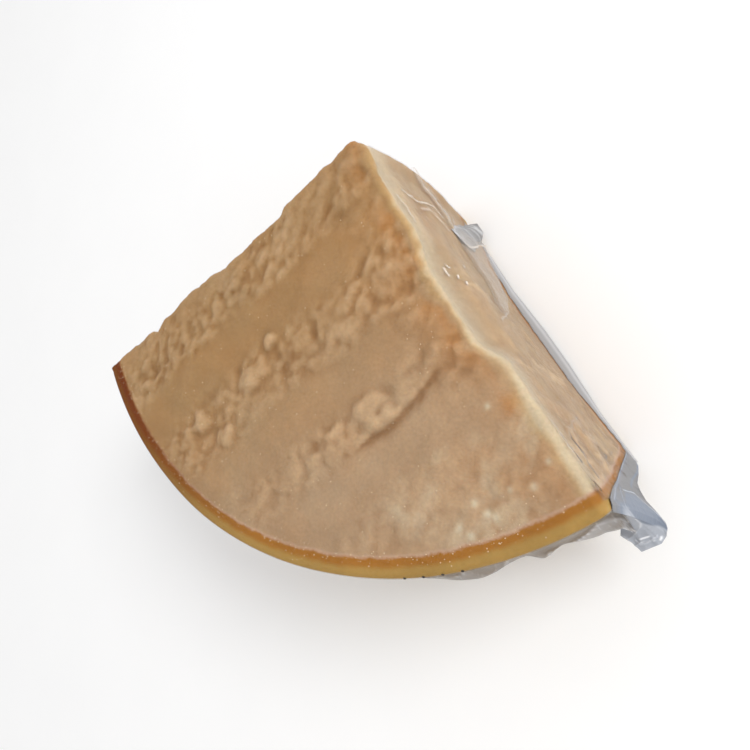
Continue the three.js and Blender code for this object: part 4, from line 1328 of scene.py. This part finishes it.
EAR_RIM = {"width": 0.02, "tone": 0.6, "share": 0.5}
# The ear's outlines are drawn with the share of the way taken as this many rulings, and its folds are
# followed in this many steps a point
EAR_SHARE_LENGTH = 10
FOLD_STEPS = 20


def add_creases(spot, creases, level, haze, tone):
    """Adds raised, hazier lines to a sheet's values at its positions, whose tone paints light on them where
    it is high and shade where it is low.
    """
    for points, half_width, height, more_haze, crease_tone in creases:
        near = np.exp(-(line_distance(spot, points) / half_width) ** 2)
        level = level + height * near
        haze = haze + more_haze * near
        tone = tone + (crease_tone - tone) * np.minimum(CREASE_TONE_REACH * near, 1)
    return level, haze, tone


def wrinkle_ridges(fan, along):
    """Ridges that run towards the rind's corner, from 0 between them to 1 on them."""
    return 1 - abs(waves(fan, along * WRINKLES["stretch"], 0 * along, WRINKLES["size"], 121))


def right_film():
    """The film over the right face, with the strip that stands off it and its creases."""
    reaches = [np.linspace(*reach, count) for reach, count in zip(RIGHT_FILM_REACH, RIGHT_FILM_GRID)]
    along, height = np.meshgrid(*reaches, indexing="ij")
    waver = sum(reach * waves(along, height, 0 * along, size, seed) for reach, size, seed in CREASE_WAVER)
    place = right_place(along, height)
    bent = along + 1j * height + waver + 1j * WAVER_UP * waver
    pocket = inside_share(bent, POCKET, POCKET_BORDER)
    lift, haze = RIGHT_FILM_GAP + POCKET_LIFT * pocket, POCKET_HAZE * pocket
    lift, haze, tone = add_creases(bent, FILM_CREASES, lift, haze, RIGHT_FILM_TONE + POCKET_TONE * pocket)
    bend = FAN["bend"] * waves(along, height, 0 * along, FAN["bend_size"], 97)
    fan = height + FAN["lean"] * along + bend
    wrinkle = wrinkle_ridges(fan, along) ** WRINKLES["sharpness"]
    wrinkle = wrinkle * smooth_step(WRINKLES["from"], WRINKLES["to"], along)
    lift, haze = lift + WRINKLES["lift"] * wrinkle, haze + WRINKLES["haze"] * wrinkle
    # The film's own tones lie above the middle one, and the brown of the shadows is below it
    tone = MIDDLE_TONE + (1 - MIDDLE_TONE) * (tone + (WRINKLES["tone"] - tone) * wrinkle)
    shadow = wrinkle_ridges(fan + WRINKLE_SHADOW["beside"], along) ** WRINKLE_SHADOW["sharpness"]
    shadow = shadow * smooth_step(WRINKLE_SHADOW["from"], WRINKLE_SHADOW["to"], along)
    swell = waves(fan, along, 0 * along, WRINKLE_SHADOW["gaps"], 123)
    shadow = shadow * smooth_step(*WRINKLE_SHADOW["gap_border"], swell)
    haze = haze + WRINKLE_SHADOW["haze"] * shadow
    tone = tone * (1 - smooth_step(0, WRINKLE_SHADOW["brown_at"], shadow))
    lift = lift * smooth_step(0, RIGHT_FILM_ENDS["foot"], height)
    lift = lift * smooth_step(0, RIGHT_FILM_ENDS["top"], BLOCK_HEIGHT + 1 - height)
    # The film bridges the small hollows of the paste
    outline = outline_point(place, height)
    relief = wall_relief(place, outline, height)
    taut = np.maximum(blurred(relief, BRIDGING_PASSES), relief)
    return outline + outline_normal(place, height) * (taut + lift), height, haze, tone


def tab_sheet():
    """The crumpled tab under the apex."""
    along, out, level = blended_rows(TAB, *TAB_GRID)
    spread = along * TAB_FOLD["by_along"] + level * TAB_FOLD["by_level"]
    fold = pleats(spread, out * TAB_FOLD["by_out"], TAB_FOLD["size"], 111)
    crest = smooth_step(*TAB_FOLD["crest"], fold)
    line = np.exp(-(line_distance(along + 1j * out, TAB_CREASE) / TAB_CREASE_HALF_WIDTH) ** 2)
    plan = beside_right(along, out + TAB_FOLD["out"] * (fold - TAB_FOLD["middle"]))
    level = level + TAB_FOLD["up"] * (fold - TAB_FOLD["middle"])
    # Crests and the crease get painted highlights in their tone
    tone = TAB_TONE["flat"] + TAB_TONE["crest"] * crest + TAB_TONE["crease"] * line
    return plan, level, TAB_HAZE * crest + TAB_HAZE * line, tone


def foot_band():
    """The taut band along the foot of the right face, with a straight outer edge."""
    edge = np.array(FOOT_BAND_EDGE, float)
    along = np.linspace(edge[0, 0], edge[-1, 0], FOOT_BAND_GRID[0])
    out = np.interp(along, edge[:, 0], edge[:, 1])
    high, low = FOOT_BAND_LEVELS
    root = high + 0 * along
    place = right_place(along, root)
    inner = wall_point(place, root) + outline_normal(place, root) * ROOT_GAP
    share = np.linspace(0, 1, FOOT_BAND_GRID[1])[None, :]
    plan = inner[:, None] * (1 - share) + beside_right(along, out)[:, None] * share
    swell = waves(along, 0 * along, 0 * along, FOOT_BAND_SWELL["size"], 93)[:, None]
    level = high + (low - high) * share + FOOT_BAND_SWELL["height"] * swell * np.sin(np.pi * share)
    light = np.exp(-((share - FOOT_BAND_LIGHT["at"]) / FOOT_BAND_LIGHT["half_width"]) ** 2)
    return plan, level, FOOT_BAND_LIGHT["haze"] * light, FOOT_BAND_TONE + FOOT_BAND_LIGHT["tone"] * light


def add_folds(grid, folds, level, haze, tone):
    """Adds raised, hazier folds to a sheet whose points in space are given row by row, with a tone that is
    painted light where it is high.
    """
    rows, columns = grid.shape[:2]
    for points, half_width, height, more_haze, fold_tone in folds:
        ruling, free = np.transpose(points)
        steps = np.linspace(0, len(points) - 1, FOLD_STEPS * len(points))
        row = np.interp(steps, range(len(points)), ruling) * (rows - 1) / (len(EAR_RULINGS) - 1)
        column = np.interp(steps, range(len(points)), free) * (columns - 1)
        distance = np.full((rows, columns), FAR_AWAY)
        for i, j in zip(row.round().astype(int), column.round().astype(int)):
            distance = np.minimum(distance, np.linalg.norm(grid - grid[i, j], axis=-1))
        near = np.exp(-(distance / half_width) ** 2)
        level = level + height * near
        haze = haze + more_haze * near
        tone = tone + (fold_tone - tone) * near
    return level, haze, tone


def ear_sheet():
    """The box fold and the ear: a light folded strip, a flat panel and a crumpled lower part."""
    root, root_level, edge = [], [], []
    for (place, height), (along, out, level) in EAR_RULINGS:
        at = np.array([place]), np.array([float(height)])
        root.append(wall_point(*at)[0] + outline_normal(*at, EAR_CORNER_STEP)[0] * EAR_ROOT_GAP)
        root_level.append(float(height))
        edge.append((along, out, level))
    offset = np.array(root) - AXIS
    root = np.stack([dot(offset, TOWARDS_RIGHT), dot(offset, RIGHT_OUT), root_level], -1)
    along, out, level = blended_rows([root, edge], *EAR_GRID)
    free = np.linspace(0, 1, EAR_GRID[1])[None, :]
    low = level[:, -1:]
    level = low + (level[:, :1] - low) * (1 - free) ** 2
    grid = np.stack([along, out, level], -1)
    ruling = np.linspace(0, len(EAR_RULINGS) - 1, EAR_GRID[0])[:, None]
    spot = ruling + 1j * EAR_SHARE_LENGTH * free
    panel, dark = (
        inside_share(spot, [(at, EAR_SHARE_LENGTH * share) for at, share in line], soft)
        for line, soft in ((EAR_PANEL, EAR_BORDERS["panel"]), (EAR_DARK, EAR_BORDERS["dark"]))
    )
    crumpled = smooth_step(*EAR_CRUMPLED["rulings"], ruling)
    crumpled = crumpled * smooth_step(0, EAR_CRUMPLED["root"], free) * (1 - panel)
    small = EAR_CRUMPLE["small_share"] * pleats(out, along, EAR_CRUMPLE["small"], 97)
    large = pleats(along * EAR_CRUMPLE["stretch"], out, EAR_CRUMPLE["large"], 91)
    fold = large + small - EAR_CRUMPLE["middle"]
    level = level + EAR_CRUMPLE["height"] * crumpled * fold
    # Painted highlights on the crests of the crumples
    crest = crumpled * smooth_step(*EAR_CRUMPLE["crest"], fold)
    haze = EAR_HAZE["flat"] + EAR_HAZE["crest"] * crest
    tone = EAR_TONES["boxed"] + EAR_TONES["panel"] * panel + EAR_TONES["crumpled"] * crumpled
    tone = tone + EAR_TONES["crest"] * crest + EAR_TONES["dark"] * dark
    level, haze, tone = add_folds(grid, EAR_FOLDS, level, haze, tone)
    rim = EAR_RIM["share"] * np.exp(-((1 - free) / EAR_RIM["width"]) ** 2)
    return beside_right(along, out), level, haze, tone + (EAR_RIM["tone"] - tone) * rim


def start_tree(name, sizes):
    """A new tree of geometry nodes with a mesh and named sizes going in, and those as sockets."""
    tree = bpy.data.node_groups.new(name, "GeometryNodeTree")
    tree.interface.new_socket("Geometry", in_out="INPUT", socket_type="NodeSocketGeometry")
    for size, value in sizes.items():
        socket = tree.interface.new_socket(size, in_out="INPUT", socket_type="NodeSocketFloat")
        socket.default_value = value
    tree.interface.new_socket("Geometry", in_out="OUTPUT", socket_type="NodeSocketGeometry")
    return tree, add_node(tree, "NodeGroupInput").outputs


def end_tree(tree, spread, material):
    """Makes the instances real, gives them their material and hands them out."""
    real = add_node(tree, "GeometryNodeRealizeInstances", {"Geometry": spread.outputs[0]})
    painted = add_node(tree, "GeometryNodeSetMaterial", {"Geometry": real.outputs[0], "Material": material})
    add_node(tree, "NodeGroupOutput", {"Geometry": painted.outputs[0]})
    return tree


def crystals_tree(material, sizes):
    """Geometry nodes that scatter small crystals over a surface where its value allows."""
    tree, given = start_tree("scattered_crystals", sizes)
    where = add_node(tree, "GeometryNodeInputNamedAttribute", {"Name": "crystal_density"}, data_type="FLOAT")
    density = add_node(tree, "ShaderNodeMath", {0: where.outputs["Attribute"], 1: given["Density"]},
                       operation="MULTIPLY")
    points = add_node(tree, "GeometryNodeDistributePointsOnFaces",
                      {"Mesh": given["Geometry"], "Density": density.outputs[0], "Seed": 5})
    grain = add_node(tree, "GeometryNodeMeshIcoSphere", {"Radius": 0.5, "Subdivisions": 1})
    small = add_node(tree, "ShaderNodeMath", {0: given["Largest"], 1: SMALLEST_CRYSTAL}, operation="MULTIPLY")
    size = add_node(tree, "FunctionNodeRandomValue",
                    {"Min": small.outputs[0], "Max": given["Largest"], "Seed": 11}, data_type="FLOAT")
    spread = add_node(tree, "GeometryNodeInstanceOnPoints", {
        "Points": points.outputs["Points"], "Instance": grain.outputs["Mesh"],
        "Rotation": points.outputs["Rotation"], "Scale": size.outputs["Value"],
    })
    return end_tree(tree, spread, material)


def pricks_tree(material, sizes):
    """Geometry nodes that set small round pricks at an even spacing along lines."""
    tree, given = start_tree("rows_of_pricks", sizes)
    row = add_node(tree, "GeometryNodeMeshToCurve", {"Mesh": given["Geometry"]})
    even = add_node(tree, "GeometryNodeResampleCurve", {"Curve": row.outputs[0], "Length": given["Spacing"]},
                    mode="LENGTH")
    radius = add_node(tree, "ShaderNodeMath", {0: given["Width"], 1: 0.5}, operation="MULTIPLY")
    prick = add_node(tree, "GeometryNodeMeshIcoSphere", {"Radius": radius.outputs[0], "Subdivisions": 2})
    spread = add_node(tree, "GeometryNodeInstanceOnPoints",
                      {"Points": even.outputs[0], "Instance": prick.outputs["Mesh"]})
    return end_tree(tree, spread, material)


def run_nodes(piece, tree, values, name):
    """Runs a tree on a piece with its inputs set by identifier, and returns the plain mesh piece."""
    modifier = piece.modifiers.new(tree.name, "NODES")
    modifier.node_group = tree
    for item in tree.interface.items_tree:
        if item.item_type == "SOCKET" and item.in_out == "INPUT" and item.name in values:
            modifier[item.identifier] = values[item.name]
    return with_modifiers_applied(piece, name)


class CHEESE_OT_block(bpy.types.Operator):
    """Builds the cracked block with its rind"""

    bl_idname = "cheese.block"
    bl_label = "Cheese block"

    def execute(self, context):
        cheese = context.scene.cheese_settings
        surface = block_surface(cheese.cells)
        piece = piece_from("cheese_block", surface["plan"], surface["level"], surface["faces"],
                           ripened_paste(cheese), surface_values(surface))
        hand_over(piece, "cheese", "cheese")
        return {"FINISHED"}


class CHEESE_OT_crystals(bpy.types.Operator):
    """Scatters white crystals over the broken paste, most of them along the rind"""

    bl_idname = "cheese.crystals"
    bl_label = "Crystals"

    def execute(self, context):
        cheese = context.scene.cheese_settings
        surface = block_surface(cheese.cells)
        top_index = surface["top_index"]
        plan, level = surface["plan"][top_index], surface["level"][top_index]
        from_rind = WHEEL_RADIUS - RIND - abs(plan - AXIS)
        near = np.exp(-((from_rind - CRYSTALS["from_rind"]) / CRYSTALS["reach"]) ** 2)
        faces = grid_faces(np.arange(top_index.size).reshape(top_index.shape))
        density = (CRYSTALS["elsewhere"] + near) * (from_rind > -CRYSTALS["over_rind"])
        sizes = {"Density": cheese.crystal_density, "Largest": cheese.crystal}
        # Tyrosine grows in hard whitish grains that glint a little
        material = plain_material("tyrosine_crystal", cheese.crystal_colour, roughness=0.35,
                                  grain_width=0.5, darker=0.1)
        tree = crystals_tree(material, sizes)
        piece = piece_from("crystal_ground", plan.ravel(), level.ravel(), faces, material,
                           {"crystal_density": density.ravel()})
        hand_over(run_nodes(piece, tree, sizes, "cheese_crystals"), "cheese")
        return {"FINISHED"}


class CHEESE_OT_pricks(bpy.types.Operator):
    """Sets plain rows of pin pricks round the rind's side"""

    bl_idname = "cheese.pricks"
    bl_label = "Pricks"

    def execute(self, context):
        cheese = context.scene.cheese_settings
        sunk = cheese.prick / MM * PRICK_SINK
        plan, level, lines, count = [], [], [], PRICK_ROW_POINTS
        for row, (height, first, last) in enumerate(PRICK_ROWS):
            place = np.linspace(first, last, count)
            heights = height + 0 * place
            plan.append(wall_point(place, heights) - outline_normal(place, heights) * sunk)
            level.append(heights)
            lines += [(row * count + at, row * count + at + 1) for at in range(count - 1)]
        sizes = {"Spacing": cheese.prick_spacing, "Width": cheese.prick}
        # A prick is a small hole: its dark colour is painted shade in the hole, and it is dull
        material = plain_material("prick_hole_shade", cheese.prick_shade_colour, roughness=0.7,
                                  grain_width=0.5, darker=0.3)
        tree = pricks_tree(material, sizes)
        plan, level = np.concatenate(plan), np.concatenate(level)
        guide = piece_from("prick_rows", plan, level, [], material, edges=lines)
        hand_over(run_nodes(guide, tree, sizes, "rind_pricks"), "cheese")
        return {"FINISHED"}


class CHEESE_OT_clinging_film(bpy.types.Operator):
    """Lays the clear film that the vacuum pulls onto the block"""

    bl_idname = "cheese.clinging_film"
    bl_label = "Clinging film"

    def execute(self, context):
        bag = context.scene.bag_settings
        surface = block_surface(context.scene.cheese_settings.cells)
        film = clear_film("clinging_vacuum_film", (bag.film, bag.film), bag.cling_haze, bag.sheen, TAUT_FILM)
        plan, level, place, on_top = (surface[key] for key in ("plan", "level", "place", "on_top"))
        on_right = (place > 0) & (place < 1) & (on_top < 0.5)
        dusk = smooth_step(MATT["dusk_from"], SECTOR / 2, -np.angle(plan - AXIS) - math.pi / 2)
        side = MATT["side"] + MATT["side_at_dusk"] * dusk
        matt = np.where(on_right, 1, MATT["top"] * on_top + side * (1 - on_top))
        haze = CLING["top_haze"] * on_top + cling_creases(surface)
        piece = piece_from("film_skin", plan, level, surface["faces"], film, {"matt": matt, "haze": haze})
        mesh = piece.data
        count = len(mesh.vertices)
        points, normals = np.zeros(count * 3), np.zeros(count * 3)
        mesh.vertices.foreach_get("co", points)
        mesh.vertices.foreach_get("normal", normals)
        gap = bag.film_gap + MM * CLING["over_hollow"] * np.maximum(surface["hollow"], 0)
        gap = np.where(level < ON_PLATE, CLING["under_plate"] * MM, gap)
        points = points.reshape(-1, 3) + normals.reshape(-1, 3) * gap[:, None]
        points[:, 2] = np.maximum(points[:, 2], 0)
        mesh.vertices.foreach_set("co", points.ravel())
        mesh.update()
        hand_over(piece, "film")
        return {"FINISHED"}


class CHEESE_OT_folded_film(bpy.types.Operator):
    """Lays the creased film over the right face"""

    bl_idname = "cheese.folded_film"
    bl_label = "Folded film"

    def execute(self, context):
        bag = context.scene.bag_settings
        colours = bag.paste_shadow, bag.shaded_film, bag.lit_film
        film = clear_film("folded_vacuum_film", colours, bag.folded_haze, bag.folded_sheen, TAUT_FILM)
        hand_over(sheet_piece("film_folds", [right_film()], film), "film")
        return {"FINISHED"}


class CHEESE_OT_loose_film(bpy.types.Operator):
    """Builds the loose seam, the taut band, the tab and the ear"""

    bl_idname = "cheese.loose_film"
    bl_label = "Loose film"

    def execute(self, context):
        bag = context.scene.bag_settings
        pieces = [
            ("film_seam", "welded_vacuum_film", (bag.seam_film, bag.highlight_film), [seam_sheet()]),
            ("film_tab", "folded_tab_film", (bag.boxed_film, bag.highlight_film), [tab_sheet(), foot_band()]),
            ("film_ear", "loose_vacuum_film", (bag.boxed_film, bag.loose_film, bag.highlight_film),
             [ear_sheet()]),
        ]
        for name, film_name, colours, grids in pieces:
            film = clear_film(film_name, colours, bag.loose_haze, bag.sheen, SLACK_FILM)
            replaced = ["bag"] if name == "film_seam" else []
            hand_over(sheet_piece(name, grids, film), "film", *replaced)
        return {"FINISHED"}


class CHEESE_OT_stage(bpy.types.Operator):
    """Sets the pale floor, the soft light and the camera"""

    bl_idname = "cheese.stage"
    bl_label = "Stage"

    def execute(self, context):
        stage = context.scene.stage_settings
        turns = np.linspace(0, 2 * math.pi, FLOOR_CORNERS, endpoint=False)
        ring = stage.floor / MM / 2 * np.exp(1j * turns)
        # A painted board is pale and without gloss, so that only the shadow shows on it
        board = plain_material("matt_painted_board", stage.floor_colour, roughness=0.9,
                               grain_width=60, darker=0.01)
        floor = piece_from("floor", ring, 0 * turns - FLOOR_DROP, [list(range(FLOOR_CORNERS))], board)
        light = bpy.data.lights.new("key", "AREA")
        light.shape = "DISK"
        light.size = stage.key_size
        light.energy = stage.key
        key = bpy.data.objects.new("key", light)
        key.location = Vector(KEY_DIRECTION) * KEY_DISTANCE * MM
        key.rotation_euler = (-key.location).to_track_quat("-Z", "Y").to_euler()
        context.scene.collection.objects.link(key)
        world = bpy.data.worlds.new("even_light")
        world.use_nodes = True
        world.node_tree.nodes.clear()
        back = add_node(world.node_tree, "ShaderNodeBackground",
                        {"Color": (1.0, 1.0, 1.0, 1.0), "Strength": stage.fill})
        add_node(world.node_tree, "ShaderNodeOutputWorld", {"Surface": back.outputs[0]})
        context.scene.world = world
        context.scene.view_settings.view_transform = "Standard"
        lens = bpy.data.cameras.new("camera")
        lens.lens = LENS
        lens.sensor_width = SENSOR
        lens.clip_start = 0.01
        camera = bpy.data.objects.new("camera", lens)
        camera.location = Vector(CAMERA_PLACE) * MM
        camera.rotation_euler = Euler([math.radians(turn) for turn in CAMERA_TURN])
        context.scene.collection.objects.link(camera)
        context.scene.camera = camera
        return {"FINISHED"}


class CHEESE_PT_panel(bpy.types.Panel):
    """Lists the settings and the steps"""

    bl_label = "Cheese"
    bl_idname = "CHEESE_PT_panel"
    bl_space_type = "VIEW_3D"
    bl_region_type = "UI"
    bl_category = "Cheese"

    def draw(self, context):
        for group in ("cheese_settings", "bag_settings", "stage_settings"):
            settings = getattr(context.scene, group)
            box = self.layout.box()
            for name in settings.__annotations__:
                box.prop(settings, name)
        for step in STEPS:
            self.layout.operator(step.bl_idname)


STEPS = [
    CHEESE_OT_block, CHEESE_OT_crystals, CHEESE_OT_pricks, CHEESE_OT_clinging_film, CHEESE_OT_folded_film,
    CHEESE_OT_loose_film, CHEESE_OT_stage,
]
GROUPS = {
    "cheese_settings": CheeseSettings, "bag_settings": BagSettings, "stage_settings": StageSettings,
}


def register():
    for kind in [*GROUPS.values(), *STEPS, CHEESE_PT_panel]:
        bpy.utils.register_class(kind)
    for name, group in GROUPS.items():
        setattr(bpy.types.Scene, name, PointerProperty(type=group))


def unregister():
    for name in GROUPS:
        delattr(bpy.types.Scene, name)
    for kind in [CHEESE_PT_panel, *STEPS, *GROUPS.values()]:
        bpy.utils.unregister_class(kind)


def main():
    register()
    bpy.ops.cheese.block()
    bpy.ops.cheese.crystals()
    bpy.ops.cheese.pricks()
    bpy.ops.cheese.clinging_film()
    bpy.ops.cheese.folded_film()
    bpy.ops.cheese.loose_film()
    bpy.ops.cheese.stage()


if __name__ == "__main__":
    main()
